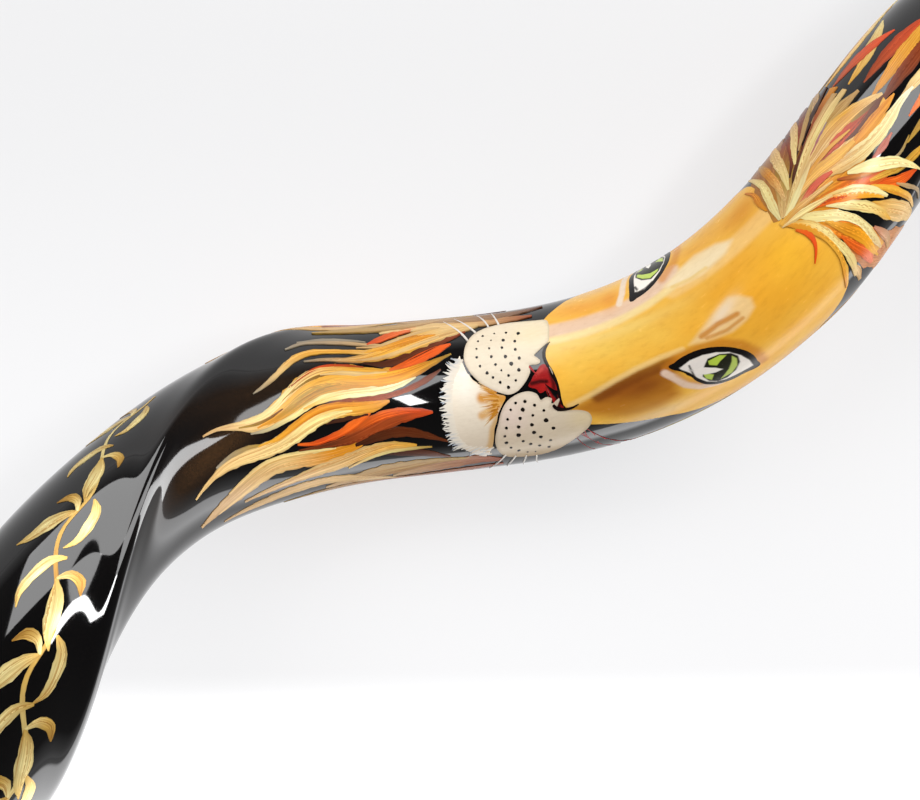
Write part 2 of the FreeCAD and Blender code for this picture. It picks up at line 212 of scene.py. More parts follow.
@dataclass(frozen=True)
class HornForm:
    """The horn's own shape, and where it lies in the row frame."""

    length: float = 840.0
    pitch: float = 330.0
    start_deg: float = -21.6
    keel_half_width_deg: float = 13.0
    shank: float = 26.8
    tip: float = 10.6
    bend: float = 23.5
    bell_bend: float = 37.0
    ridge_height: float = 6.0
    bore_radius: float = 4.0
    bore_length: float = 96.0
    cup_radius: float = 8.0
    cup_depth: float = 9.0
    coat: float = 0.3
    bare_tip: float = 36.0
    spiral: Law = field(init=False)
    girth: Law = field(init=False)
    keel: Law = field(init=False)
    oval: Law = field(init=False)
    keel_lead: Law = field(init=False)
    turn: np.ndarray = field(init=False)
    shift: np.ndarray = field(init=False)
    up: np.ndarray = field(init=False)

    def __post_init__(self) -> None:
        """Draws the laws along the horn and finds its attitude from the record's mounts."""
        b, h, s, k = self.bell_bend, self.bend, self.shank, self.ridge_height
        laws = {
            "spiral": ((0.0, b), (0.083, b), (0.18, 0.946 * b), (0.274, 1.255 * h), (0.345, 1.034 * h),
                       (0.405, h), (0.667, h), (0.762, 0.872 * h), (0.857, 0.404 * h), (0.929, 0.064 * h),
                       (0.952, 0.0), (1.0, 0.0)),
            "girth": ((0.0, 39.5), (0.083, 1.284 * s), (0.18, 1.119 * s), (0.268, 1.007 * s),
                      (0.339, 0.925 * s), (0.417, 0.993 * s), (0.512, s), (0.619, 0.955 * s),
                      (0.714, 0.873 * s), (0.833, 0.672 * s), (0.929, 1.245 * self.tip), (1.0, self.tip)),
            "keel": ((0.0, k), (0.18, 0.92 * k), (0.286, 0.83 * k), (0.357, 0.7 * k), (0.429, 0.47 * k),
                     (0.524, 0.27 * k), (0.667, 0.13 * k), (0.833, 0.0), (1.0, 0.0)),
            "oval": ((0.0, 0.05), (0.238, 0.05), (0.357, 0.04), (0.476, 0.0), (1.0, 0.0)),
            "keel_lead": ((0.0, 62.0), (0.238, 60.0), (0.357, 50.0), (0.5, 45.0), (1.0, 45.0)),
        }
        for name, pairs in laws.items():
            object.__setattr__(self, name, Law(pairs, self.length))
        mounts = {mount["name"]: mount for mount in frame["record"]["mounts"]}
        bore = mounts["mouthpiece_bore"]
        rim = mounts["bell_rim"]
        line = Vector(bore["axis"]).normalized()
        tilt = Matrix.Rotation(math.atan2(-line.z, line.x), 3, "Y")
        start = Vector(self.axes(np.array([0.0]))[0][0])
        facing = tilt.transposed() @ -Vector(rim["axis"]).normalized()
        roll = math.atan2(facing.z, facing.y) - math.atan2(start.z, start.y)
        turn = np.array(tilt @ Matrix.Rotation(roll, 3, "X"))
        middle = np.array([self.length - self.cup_depth - self.bore_length / 2, 0.0, 0.0])
        object.__setattr__(self, "turn", turn)
        object.__setattr__(self, "shift", np.array(bore["pos_m"]) / MM - turn @ middle)
        object.__setattr__(self, "up", turn.T @ np.array([0.0, 0.0, 1.0]))

    def centre(self, x: np.ndarray, winding: Law | None = None) -> np.ndarray:
        """Points of the axis at x, in the spiral's frame.

        Args:
            x: Lengths along the horn.
            winding: How far the line winds out from the spiral's axis; the horn's own if left out.

        Returns:
            The points, (n, 3).
        """
        phase = np.radians(self.start_deg - 360.0 * x / self.pitch)
        reach = (winding or self.spiral)(x)
        return np.stack([x, reach * np.cos(phase), reach * np.sin(phase)], -1)

    def axes(self, x: np.ndarray, winding: Law | None = None) -> tuple[np.ndarray, np.ndarray, np.ndarray]:
        """Axis direction, the direction away from the spiral's line, and the one square to both.

        Args:
            x: Lengths along the horn.
            winding: How far the line winds out from the spiral's axis; the horn's own if left out.

        Returns:
            Three arrays of unit vectors, (n, 3).
        """
        along = self.centre(x + 0.5, winding) - self.centre(x - 0.5, winding)
        along /= np.linalg.norm(along, axis=-1, keepdims=True)
        phase = np.radians(self.start_deg - 360.0 * x / self.pitch)
        outward = np.stack([0 * x, np.cos(phase), np.sin(phase)], -1)
        outward -= along * (outward * along).sum(-1, keepdims=True)
        outward /= np.linalg.norm(outward, axis=-1, keepdims=True)
        return along, outward, np.cross(along, outward)

    def laid(self, points: np.ndarray) -> np.ndarray:
        """Points of the spiral's frame put in the row frame, in metres."""
        return (points @ self.turn.T + self.shift) * MM

    def skin(self, x: np.ndarray, angle: np.ndarray, lift: np.ndarray) -> np.ndarray:
        """Points of the outside, in the row frame.

        Args:
            x: Lengths along the horn.
            angle: Angles from the outward direction, in radians.
            lift: Heights above the bare horn.

        Returns:
            The points, (n, 3), in metres.
        """
        _, outward, across = self.axes(x)
        off = (angle - np.radians(self.keel_lead(x)) + np.pi) % (2 * np.pi) - np.pi
        ridge = self.keel(x) / (1 + (np.degrees(off) / self.keel_half_width_deg) ** 2)
        radius = (self.girth(x) * (1 + self.oval(x) * np.cos(2 * off)) + ridge + lift)[:, None]
        ring = outward * np.cos(angle)[:, None] + across * np.sin(angle)[:, None]
        return self.laid(self.centre(x) + radius * ring)

    def top(self, x: np.ndarray) -> np.ndarray:
        """Angle of the top line at x, from the outward direction, in radians."""
        _, outward, across = self.axes(x)
        return np.arctan2(across @ self.up, outward @ self.up)

    def paint(self, x: np.ndarray, degrees: np.ndarray, lift: np.ndarray) -> np.ndarray:
        """Points lift above the lacquer, degrees round from the top line."""
        return self.skin(x, np.radians(degrees) + self.top(x), self.coat + lift)

    def keel_degrees(self, x: np.ndarray) -> np.ndarray:
        """Where the ridge runs, in degrees from the top line."""
        off = np.radians(self.keel_lead(x)) - self.top(x)
        return np.degrees((off + np.pi) % (2 * np.pi) - np.pi)

    def hollow(self) -> tuple[Law, Law]:
        """Winding and radius of the hollow that the horn grew with.

        Returns:
            The winding and the radius as laws.
        """
        end = (self.length - self.cup_depth - self.bore_length) / self.length
        bend = tuple(pair for pair in self.spiral.pairs if pair[0] < end - 0.12)
        winding = Law(bend + ((end - 0.05, 0.33 * self.bend), (end, 0.0), (1.0, 0.0)), self.length)
        wall = Law(((0.0, 3.6), (0.35, 5.4), (1.0, 5.4)), self.length)
        places = np.array([0.0, 0.1, 0.2, 0.3, 0.4, 0.5, 0.6, 0.7])
        inside = self.girth(places * self.length) - wall(places * self.length)
        taper = tuple(zip(places.tolist(), inside.tolist()))
        ends = ((end - 0.05, 2.2 * self.bore_radius), (end, 1.1 * self.bore_radius))
        return winding, Law(taper + ends, self.length)


# ---------------------------------------------------------------- shader nodes


class Link:
    """A socket's value that can be used in Python arithmetic."""

    def __init__(self, board: "Board", socket: bpy.types.NodeSocket) -> None:
        """Keeps the socket and the board that new nodes go on."""
        self.board = board
        self.socket = socket

    def _maths(self, operation: str, first: object, second: object) -> "Link":
        """One Math node on two values."""
        return self.board.node("ShaderNodeMath", {"operation": operation}, {0: first, 1: second})

    def __add__(self, other: object) -> "Link":
        """Sum."""
        return self._maths("ADD", self, other)

    def __sub__(self, other: object) -> "Link":
        """Difference."""
        return self._maths("SUBTRACT", self, other)

    def __rsub__(self, other: object) -> "Link":
        """Difference the other way round."""
        return self._maths("SUBTRACT", other, self)

    def __mul__(self, other: object) -> "Link":
        """Product."""
        return self._maths("MULTIPLY", self, other)

    __radd__ = __add__
    __rmul__ = __mul__


class Board:
    """A material's nodes, or the world's."""

    def __init__(self, name: str, world: bool = False) -> None:
        """Makes an empty material with one Principled shader, or a world with one Background.

        Args:
            name: Its name.
            world: Whether it is the world's board.
        """
        self.owner = (bpy.data.worlds if world else bpy.data.materials).new(name)
        self.owner.use_nodes = True
        self.tree = self.owner.node_tree
        self.tree.nodes.clear()
        self.shader = self.tree.nodes.new("ShaderNodeBackground" if world else "ShaderNodeBsdfPrincipled")
        output = self.tree.nodes.new("ShaderNodeOutputWorld" if world else "ShaderNodeOutputMaterial")
        self.tree.links.new(self.shader.outputs[0], output.inputs["Surface"])

    def node(self, kind: str, settings: dict, inputs: dict, output: int | str = 0) -> Link:
        """Adds one node.

        Args:
            kind: Node type.
            settings: Properties set first; "stops" are a colour ramp's (place, colour) pairs.
            inputs: Socket values or links, by name or number.
            output: Which output to hand back.

        Returns:
            That output.
        """
        made = self.tree.nodes.new(kind)
        for key, value in settings.items():
            if key != "stops":
                setattr(made, key, value)
                continue
            ramp = made.color_ramp.elements
            while len(ramp) < len(value):
                ramp.new(0.5)
            for stop, (place, colour) in zip(ramp, value):
                stop.position = place
                stop.color = (*colour, 1.0)
        for key, value in inputs.items():
            self.put(made.inputs[key], value)
        return Link(self, made.outputs[output])

    def put(self, socket: bpy.types.NodeSocket, value: object) -> None:
        """Sets a socket to a number, a colour or a link.

        Args:
            socket: The socket to set.
            value: A number, a colour or a link.
        """
        if isinstance(value, Link):
            self.tree.links.new(value.socket, socket)
        elif isinstance(value, tuple) and len(value) == 3 and len(socket.default_value) == 4:
            socket.default_value = (*value, 1.0)
        else:
            socket.default_value = value

    def read(self, name: str, output: str) -> Link:
        """An attribute of the mesh, as Color, Vector or Fac."""
        return self.node("ShaderNodeAttribute", {"attribute_name": name}, {}, output)

    def noise(self, place: Link, scale: float, detail: float = 3.0, roughness: float = 0.55) -> Link:
        """Noise from 0 to 1 at a place."""
        inputs = {"Vector": place, "Scale": scale, "Detail": detail, "Roughness": roughness}
        return self.node("ShaderNodeTexNoise", {"noise_dimensions": "3D"}, inputs, "Fac")

    def stretched(self, place: Link, sizes: Colour) -> Link:
        """A place multiplied axis by axis."""
        return self.node("ShaderNodeVectorMath", {"operation": "MULTIPLY"}, {0: place, 1: sizes})

    def mix(self, share: object, first: object, second: object, blend: str = "MIX") -> Link:
        """One Mix node on two colours."""
        settings = {"data_type": "RGBA", "blend_type": blend, "clamp_factor": True}
        return self.node("ShaderNodeMix", settings, {0: share, 6: first, 7: second}, 2)

    def ramp(self, share: Link, low: float, high: float) -> Link:
        """Smooth 0 to 1 as the share goes from low to high."""
        settings = {"interpolation_type": "SMOOTHSTEP", "clamp": True}
        return self.node("ShaderNodeMapRange", settings, {"Value": share, "From Min": low, "From Max": high})

    def bump(self, height: Link, distance: float, strength: float = 1.0) -> Link:
        """Normal from a height."""
        return self.node("ShaderNodeBump", {},
                         {"Height": height, "Distance": distance, "Strength": strength})

    def finish(self, **sockets: object) -> bpy.types.ID:
        """Sets the shader's own sockets and hands back the material or world.

        Args:
            sockets: Values or links by socket name, with _ for a space.

        Returns:
            The material or world.
        """
        for name, value in sockets.items():
            self.put(self.shader.inputs[name.replace("_", " ")], value)
        return self.owner


@dataclass(frozen=True)
class BrushedPaint:
    """Acrylic paint under clear lacquer, streaked along the brush."""

    name: str
    streak: float = 0.35           # how far the streaks lighten and darken the paint
    streaks_per_mm: float = 1.6
    stretch: float = 0.09          # how much longer than wide the streaks are
    roughness: float = 0.24
    metallic: float = 0.0
    relief: float = 0.000012       # height of the brush lines in metres
    dark: Colour = (0.62, 0.50, 0.42)
    pale: Colour = (1.22, 1.24, 1.30)

    def material(self) -> bpy.types.Material:
        """Builds the material from the Paint and Grain attributes.

        Returns:
            The material.
        """
        board = Board(self.name)
        paint = board.read("Paint", "Color")
        grain = board.read("Grain", "Vector")
        rate = self.streaks_per_mm
        lines = board.noise(board.stretched(grain, (rate * self.stretch, rate, 1.0)), 1.0, 4.0, 0.62)
        broad = board.noise(board.stretched(grain, (rate * 0.06, rate * 0.3, 1.0)), 1.0, 2.0)
        darker = board.mix(1.0, paint, self.dark, "MULTIPLY")
        paler = board.mix(1.0, paint, self.pale, "MULTIPLY")
        shadowed = board.mix((1 - board.ramp(lines, 0.28, 0.52)) * self.streak * 1.6, paint, darker)
        colour = board.mix(board.ramp(lines, 0.52, 0.74) * self.streak * 1.8, shadowed, paler)
        tinted = board.mix(board.ramp(broad, 0.35, 0.7) * self.streak * 0.5, colour, paler)
        return board.finish(
            Base_Color=tinted, Roughness=lines * 0.05 + self.roughness, Metallic=self.metallic,
            IOR=1.33, Normal=board.bump(lines, self.relief))


@dataclass(frozen=True)
class MirrorLacquer:
    """Deep black lacquer, airbrushed brown in places, polished but not quite flat."""

    name: str = "black_lacquer"
    roughness: float = 0.03

    def material(self) -> bpy.types.Material:
        """Builds the material from the Paint attribute and object coordinates.

        Returns:
            The material.
        """
        board = Board(self.name)
        place = board.node("ShaderNodeTexCoord", {}, {}, "Object")
        swell = board.noise(place, 22.0, 2.0)
        dust = board.noise(place, 900.0, 3.0, 0.7)
        tint = board.read("Paint", "Color")
        flecks = board.mix(1.0, tint, (1.5, 1.4, 1.3), "MULTIPLY")
        mottled = board.mix(board.ramp(dust, 0.35, 0.75), tint, flecks)
        height = swell + dust * 0.004
        return board.finish(
            Base_Color=mottled, Roughness=dust * 0.03 + self.roughness, IOR=1.5,
            Normal=board.bump(height, 0.0009, 0.35))


@dataclass(frozen=True)
class NaturalHorn:
    """Bare polished horn: amber and dark brown streaks that run along it, with growth rings."""

    name: str = "bare_horn"
    amber: Colour = (0.36, 0.21, 0.10)
    dark: Colour = (0.035, 0.020, 0.012)
    cream: Colour = (0.62, 0.49, 0.31)

    def material(self) -> bpy.types.Material:
        """Builds the material from the Grain and Paint attributes.

        Returns:
            The material.
        """
        board = Board(self.name)
        grain = board.read("Grain", "Vector")
        streak = board.noise(board.stretched(grain, (0.012, 0.35, 1.0)), 1.0, 5.0, 0.65)
        cloud = board.noise(board.stretched(grain, (0.02, 0.06, 1.0)), 1.0, 3.0)
        rings = board.noise(board.stretched(grain, (0.5, 0.03, 1.0)), 1.0, 3.0)
        body = board.mix(board.ramp(streak, 0.38, 0.62), self.dark, self.amber)
        lit = board.mix(board.ramp(cloud, 0.5, 0.75) * 0.7, body, self.cream)
        toned = board.mix(1.0, lit, board.read("Paint", "Color"), "MULTIPLY")
        height = streak * 0.5 + rings * 0.8
        return board.finish(
            Base_Color=toned, Roughness=streak * 0.22 + 0.26, IOR=1.54,
            Normal=board.bump(height, 0.00018, 0.6))


# ---------------------------------------------------------------- blanks, modelled once and copied


def clear_selection() -> None:
    """Nothing selected and object mode, ready for a new primitive."""
    if bpy.context.object and bpy.context.object.mode != "OBJECT":
        bpy.ops.object.mode_set(mode="OBJECT")
    bpy.ops.object.select_all(action="DESELECT")


class Blanks:
    """Flat slabs and discs of unit size that brush marks are copied from."""

    def __init__(self) -> None:
        """Starts with an empty rack."""
        self.rack: dict[tuple[str, int, int], bpy.types.Mesh] = {}

    def _thicken(self, key: tuple[str, int, int]) -> bpy.types.Mesh:
        """Extrudes the flat shape being edited to unit height, closes it and keeps its mesh.

        Args:
            key: Its name on the rack.

        Returns:
            The closed mesh.
        """
        bpy.ops.mesh.select_all(action="SELECT")
        bpy.ops.mesh.extrude_region_move(TRANSFORM_OT_translate={"value": (0.0, 0.0, 1.0)})
        bpy.ops.mesh.select_all(action="SELECT")
        bpy.ops.mesh.normals_make_consistent(inside=False)
        bpy.ops.object.mode_set(mode="OBJECT")
        blank = bpy.context.object
        mesh = blank.data.copy()
        bpy.data.objects.remove(blank)
        self.rack[key] = mesh
        return mesh

    def slab(self, rows: int, columns: int) -> bpy.types.Mesh:
        """Slab from -1 to 1 both ways and 0 to 1 high.

        Args:
            rows: Steps along X.
            columns: Steps along Y.

        Returns:
            The mesh on the rack, to be copied.
        """
        key = ("slab", rows, columns)
        if key in self.rack:
            return self.rack[key]
        clear_selection()
        bpy.ops.mesh.primitive_grid_add(x_subdivisions=rows, y_subdivisions=columns, size=2.0)
        bpy.ops.object.mode_set(mode="EDIT")
        return self._thicken(key)

    def disc(self, spokes: int, rings: int) -> bpy.types.Mesh:
        """Round disc of radius 1 and height 1, as rings of quads drawn in to the middle.

        Args:
            spokes: Corners round the rim.
            rings: Rings from rim to middle.

        Returns:
            The mesh on the rack, to be copied.
        """
        key = ("disc", spokes, rings)
        if key in self.rack:
            return self.rack[key]
        clear_selection()
        bpy.ops.mesh.primitive_circle_add(vertices=spokes, radius=1.0, fill_type="NOTHING")
        bpy.ops.object.mode_set(mode="EDIT")
        bpy.ops.mesh.select_all(action="SELECT")
        for ring in range(rings, 1, -1):
            bpy.ops.mesh.extrude_region_move()
            size = (ring - 1) / ring
            bpy.ops.transform.resize(value=(size, size, 1.0), center_override=(0.0, 0.0, 0.0))
        bpy.ops.mesh.extrude_region_move()
        bpy.ops.mesh.merge(type="CENTER")
        return self._thicken(key)


def corners(mesh: bpy.types.Mesh) -> np.ndarray:
    """A mesh's vertices as an (n, 3) array.

    Args:
        mesh: The mesh.

    Returns:
        The places.
    """
    values = np.empty(len(mesh.vertices) * 3, np.float32)
    mesh.vertices.foreach_get("co", values)
    return values.reshape(-1, 3).astype(float)


def place_corners(mesh: bpy.types.Mesh, points: np.ndarray) -> None:
    """Moves a mesh's vertices."""
    mesh.vertices.foreach_set("co", points.astype(np.float32).ravel())
    mesh.update()


def coat_with(mesh: bpy.types.Mesh, colours: np.ndarray, grain: np.ndarray) -> None:
    """Stores the Paint colours and the Grain places (mm along, mm across, brush number) on a mesh.

    Args:
        mesh: The mesh.
        colours: Paint colours, (n, 3).
        grain: Brush places, (n, 3).
    """
    paint = mesh.attributes.new("Paint", "FLOAT_COLOR", "POINT")
    full = np.concatenate([colours, np.ones((len(colours), 1))], 1)
    paint.data.foreach_set("color", full.astype(np.float32).ravel())
    lines = mesh.attributes.new("Grain", "FLOAT_VECTOR", "POINT")
    lines.data.foreach_set("vector", grain.astype(np.float32).ravel())


# ---------------------------------------------------------------- things a brush leaves


@dataclass
class Stroke:
    """One brush mark: where it goes, how wide it is pressed and how its colour runs."""

    marks: Sequence[Mark]
    colours: Sequence[Colour]
    edge: float = 0.22             # how far the rims darken
    crown: float = 0.02

    def lay(self, form: HornForm, unit: np.ndarray, lift: float, number: int) -> tuple[np.ndarray, ...]:
        """Bends a unit slab along the mark.

        Args:
            form: The horn.
            unit: The slab's vertices.
            lift: Height of the film's top above the lacquer.
            number: Which brush mark this is, so that its streaks are its own.

        Returns:
            Points, colours and grain.
        """
        marks = np.array(self.marks, float)
        steps = np.hypot(np.diff(marks[:, 0]) * ALONG, np.diff(marks[:, 1]) * MM_PER_DEGREE)
        knots = np.concatenate([[0.0], np.cumsum(steps)])
        share, side, top = (unit[:, 0] + 1) / 2, unit[:, 1], unit[:, 2]
        s = share * knots[-1]
        x, degrees = flowing(knots, marks[:, 0], s), flowing(knots, marks[:, 1], s)
        half = np.maximum(flowing(knots, marks[:, 2], s), 0.08)
        half *= 1 + 0.07 * np.sin(s * 0.9 + number * 2.4) + 0.04 * np.sin(s * 2.3 + number)
        ahead, behind = np.minimum(s + 0.3, knots[-1]), np.maximum(s - 0.3, 0)
        run = (flowing(knots, marks[:, 0], ahead) - flowing(knots, marks[:, 0], behind)) * ALONG
        rise = (flowing(knots, marks[:, 1], ahead) - flowing(knots, marks[:, 1], behind)) * MM_PER_DEGREE
        length = np.maximum(np.hypot(run, rise), 1e-6)
        off = side * half
        film = lift + self.crown * (1 - side ** 2)
        points = form.paint(x - off * rise / length / ALONG, degrees + off * run / length / MM_PER_DEGREE,
                            np.where(top > 0.5, film, FILM_ROOT))
        colours = along_colours(self.colours, share)
        colours = colours * (1 - self.edge * np.abs(side) ** 3)[:, None]
        # painted shade: each lock's paint darkens round the far side
        colours = colours * (1 - FAR_SIDE_PAINTED_SHADE * smooth(5, -38, degrees))[:, None]
        grain = np.stack([s + 37.0 * number, off, np.full_like(s, 5.3 * number)], -1)
        return points, np.clip(colours, 0, BRIGHTEST), grain

    def hairs(self, rng: np.random.Generator, light: float = 1.22, dark: float = 0.66) -> list["Stroke"]:
        """Fine lines a worn brush drags along a wide mark.

        Args:
            rng: Seeded random numbers.
            light: How much paler the pale lines are.
            dark: How much darker the dark ones are.

        Returns:
            The lines, as strokes of their own.
        """
        marks = np.array(self.marks, float)
        widest = marks[:, 2].max()
        if widest < 1.1:
            return []
        steps = np.hypot(np.diff(marks[:, 0]) * ALONG, np.diff(marks[:, 1]) * MM_PER_DEGREE)
        knots = np.concatenate([[0.0], np.cumsum(steps)])
        lines = []
        for _ in range(int(2 + widest * 2.6)):
            start, stop = 0.42 * rng.random(), 0.58 + 0.4 * rng.random()
            s = np.linspace(start, stop, 7) * knots[-1]
            x, degrees, half = (flowing(knots, marks[:, k], s) for k in range(3))
            run, rise = np.gradient(x) * ALONG, np.gradient(degrees) * MM_PER_DEGREE
            length = np.hypot(run, rise) + 1e-6
            off = rng.uniform(-0.82, 0.82) * np.maximum(half, 0.2)
            width = rng.uniform(0.09, 0.21) * np.sin(np.pi * np.linspace(0.06, 0.97, 7)) ** 0.6
            path = np.stack([x - off * rise / length / ALONG,
                             degrees + off * run / length / MM_PER_DEGREE, width], -1)
            base = along_colours(self.colours, np.linspace(start, stop, 3))
            gain = np.array([light, light * 1.02, light * 1.12]) if rng.random() < 0.5 else np.array(
                [dark * 1.25, dark, dark * 0.8])
            tones = [tuple(np.minimum(colour * gain, 0.88)) for colour in base]
            lines.append(Stroke([tuple(mark) for mark in path], tones, edge=0.0, crown=0.004))
        return lines

    def size(self) -> tuple[int, int]:
        """Rows and columns a slab needs for this mark.

        Returns:
            The two counts.
        """
        marks = np.array(self.marks, float)
        reach = np.hypot(np.diff(marks[:, 0]) * ALONG, np.diff(marks[:, 1]) * MM_PER_DEGREE).sum()
        if marks[:, 2].max() < 0.3:
            return int(np.clip(math.ceil(reach / 2.6), 6, 30)), 2
        rows = int(np.clip(3 * math.ceil(reach / 5.0), 8, 60))
        columns = 6 if marks[:, 2].max() > 1.6 else 4
        return rows, columns


@dataclass
class Blot:
    """A filled outline of paint, coloured by a function of place."""

    outline: Sequence[Spot]
    middle: Spot
    colour: Callable[[np.ndarray, np.ndarray], np.ndarray]
    spokes: int = 96
    rings: int = 14
    crown: float = 0.06
    flow: bool = True

    def lay(self, form: HornForm, unit: np.ndarray, lift: float, number: int) -> tuple[np.ndarray, ...]:
        """Stretches a unit disc to the outline; arguments and result as for Stroke.lay.

        Args:
            form: The horn.
            unit: The blank's vertices.
            lift: Height of the film's top above the lacquer.
            number: Which brush mark this is.

        Returns:
            Points, colours and grain.
        """
        rim = np.array(self.outline, float)
        bearing = np.arctan2((rim[:, 1] - self.middle[1]) * MM_PER_DEGREE, rim[:, 0] - self.middle[0])
        reach = np.hypot((rim[:, 1] - self.middle[1]) * MM_PER_DEGREE, rim[:, 0] - self.middle[0])
        order = np.argsort(bearing)
        bearing, reach = bearing[order], reach[order]
        around = np.concatenate([bearing[-2:] - 2 * np.pi, bearing, bearing[:2] + 2 * np.pi])
        far = np.concatenate([reach[-2:], reach, reach[:2]])
        turn = np.arctan2(unit[:, 1], unit[:, 0])
        out = np.hypot(unit[:, 0], unit[:, 1])
        edge = flowing(around, far, turn) if self.flow else np.interp(turn, around, far)
        x = self.middle[0] + out * edge * np.cos(turn)
        degrees = self.middle[1] + out * edge * np.sin(turn) / MM_PER_DEGREE
        film = lift + self.crown * (1 - out ** 4)
        points = form.paint(x, degrees, np.where(unit[:, 2] > 0.5, film, FILM_ROOT))
        grain = np.stack([x, degrees * MM_PER_DEGREE, np.full_like(x, 5.3 * number)], -1)
        return points, np.clip(self.colour(x, degrees), 0, BRIGHTEST), grain

    def size(self) -> tuple[int, int]:
        """Spokes and rings of the disc."""
        return self.spokes, self.rings


def plain(colour: Colour) -> Callable[[np.ndarray, np.ndarray], np.ndarray]:
    """Colour function that is the same all over."""
    return lambda x, degrees: np.repeat(np.array([colour]), len(x), axis=0)


class Easel:
    """Lays brush marks on the horn and makes pieces of them."""

    def __init__(self, form: HornForm) -> None:
        """Keeps the horn and an empty rack of blanks.

        Args:
            form: The horn.
        """
        self.form = form
        self.blanks = Blanks()
        self.count = 0

    def mark(self, item: Stroke | Blot, lift: float) -> bpy.types.Object:
        """One brush mark as its own closed film.

        Args:
            item: The mark.
            lift: Height of the film's top above the lacquer.

        Returns:
            The mark's object.
        """
        rack = self.blanks.slab if isinstance(item, Stroke) else self.blanks.disc
        mesh = rack(*item.size()).copy()
        self.count += 1
        points, colours, grain = item.lay(self.form, corners(mesh), lift, self.count)
        place_corners(mesh, points)
        coat_with(mesh, colours, grain)
        made = bpy.data.objects.new("mark", mesh)
        bpy.context.scene.collection.objects.link(made)
        return made

    def piece(self, name: str, items: Sequence[tuple[Stroke | Blot, float]]) -> bpy.types.Object:
        """Joins marks, each with its lift, into one piece with outward faces.

        Args:
            name: Its name.
            items: Marks with their lifts.

        Returns:
            The joined piece.
        """
        made = [self.mark(item, lift) for item, lift in items]
        clear_selection()
        for one in made:
            one.select_set(True)
        bpy.context.view_layer.objects.active = made[0]
        if len(made) > 1:
            bpy.ops.object.join()
        whole = bpy.context.object
        whole.name = name
        whole.data.name = name
        return dressed_shape(whole)


def dressed_shape(piece: bpy.types.Object) -> bpy.types.Object:
    """Turns a piece's faces outward and smooths it up to its sharp edges.

    Args:
        piece: The piece.

    Returns:
        The same piece.
    """
    clear_selection()
    piece.select_set(True)
    bpy.context.view_layer.objects.active = piece
    bpy.ops.object.mode_set(mode="EDIT")
    bpy.ops.mesh.select_all(action="SELECT")
    bpy.ops.mesh.normals_make_consistent(inside=False)
    bpy.ops.object.mode_set(mode="OBJECT")
    bpy.ops.object.shade_smooth_by_angle(angle=SHARP_EDGE)
    return piece


def fit(piece: bpy.types.Object, slot: Slot, material: bpy.types.Material, *nodes: str) -> None:
    """Dresses a finished piece, ties it to the frame and reports it.

    Args:
        piece: The piece, at the origin.
        slot: The record's slot for its finish; not used.
        material: Its material.
        nodes: CAD nodes it stands for.
    """
    piece.data.materials.clear()
    piece.data.materials.append(material)
    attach(piece, "root")
    if nodes:
        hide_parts(*nodes)
    LOG.info("%s: %d faces, finish %s", piece.name, len(piece.data.polygons), material.name)


# ---------------------------------------------------------------- the horn itself


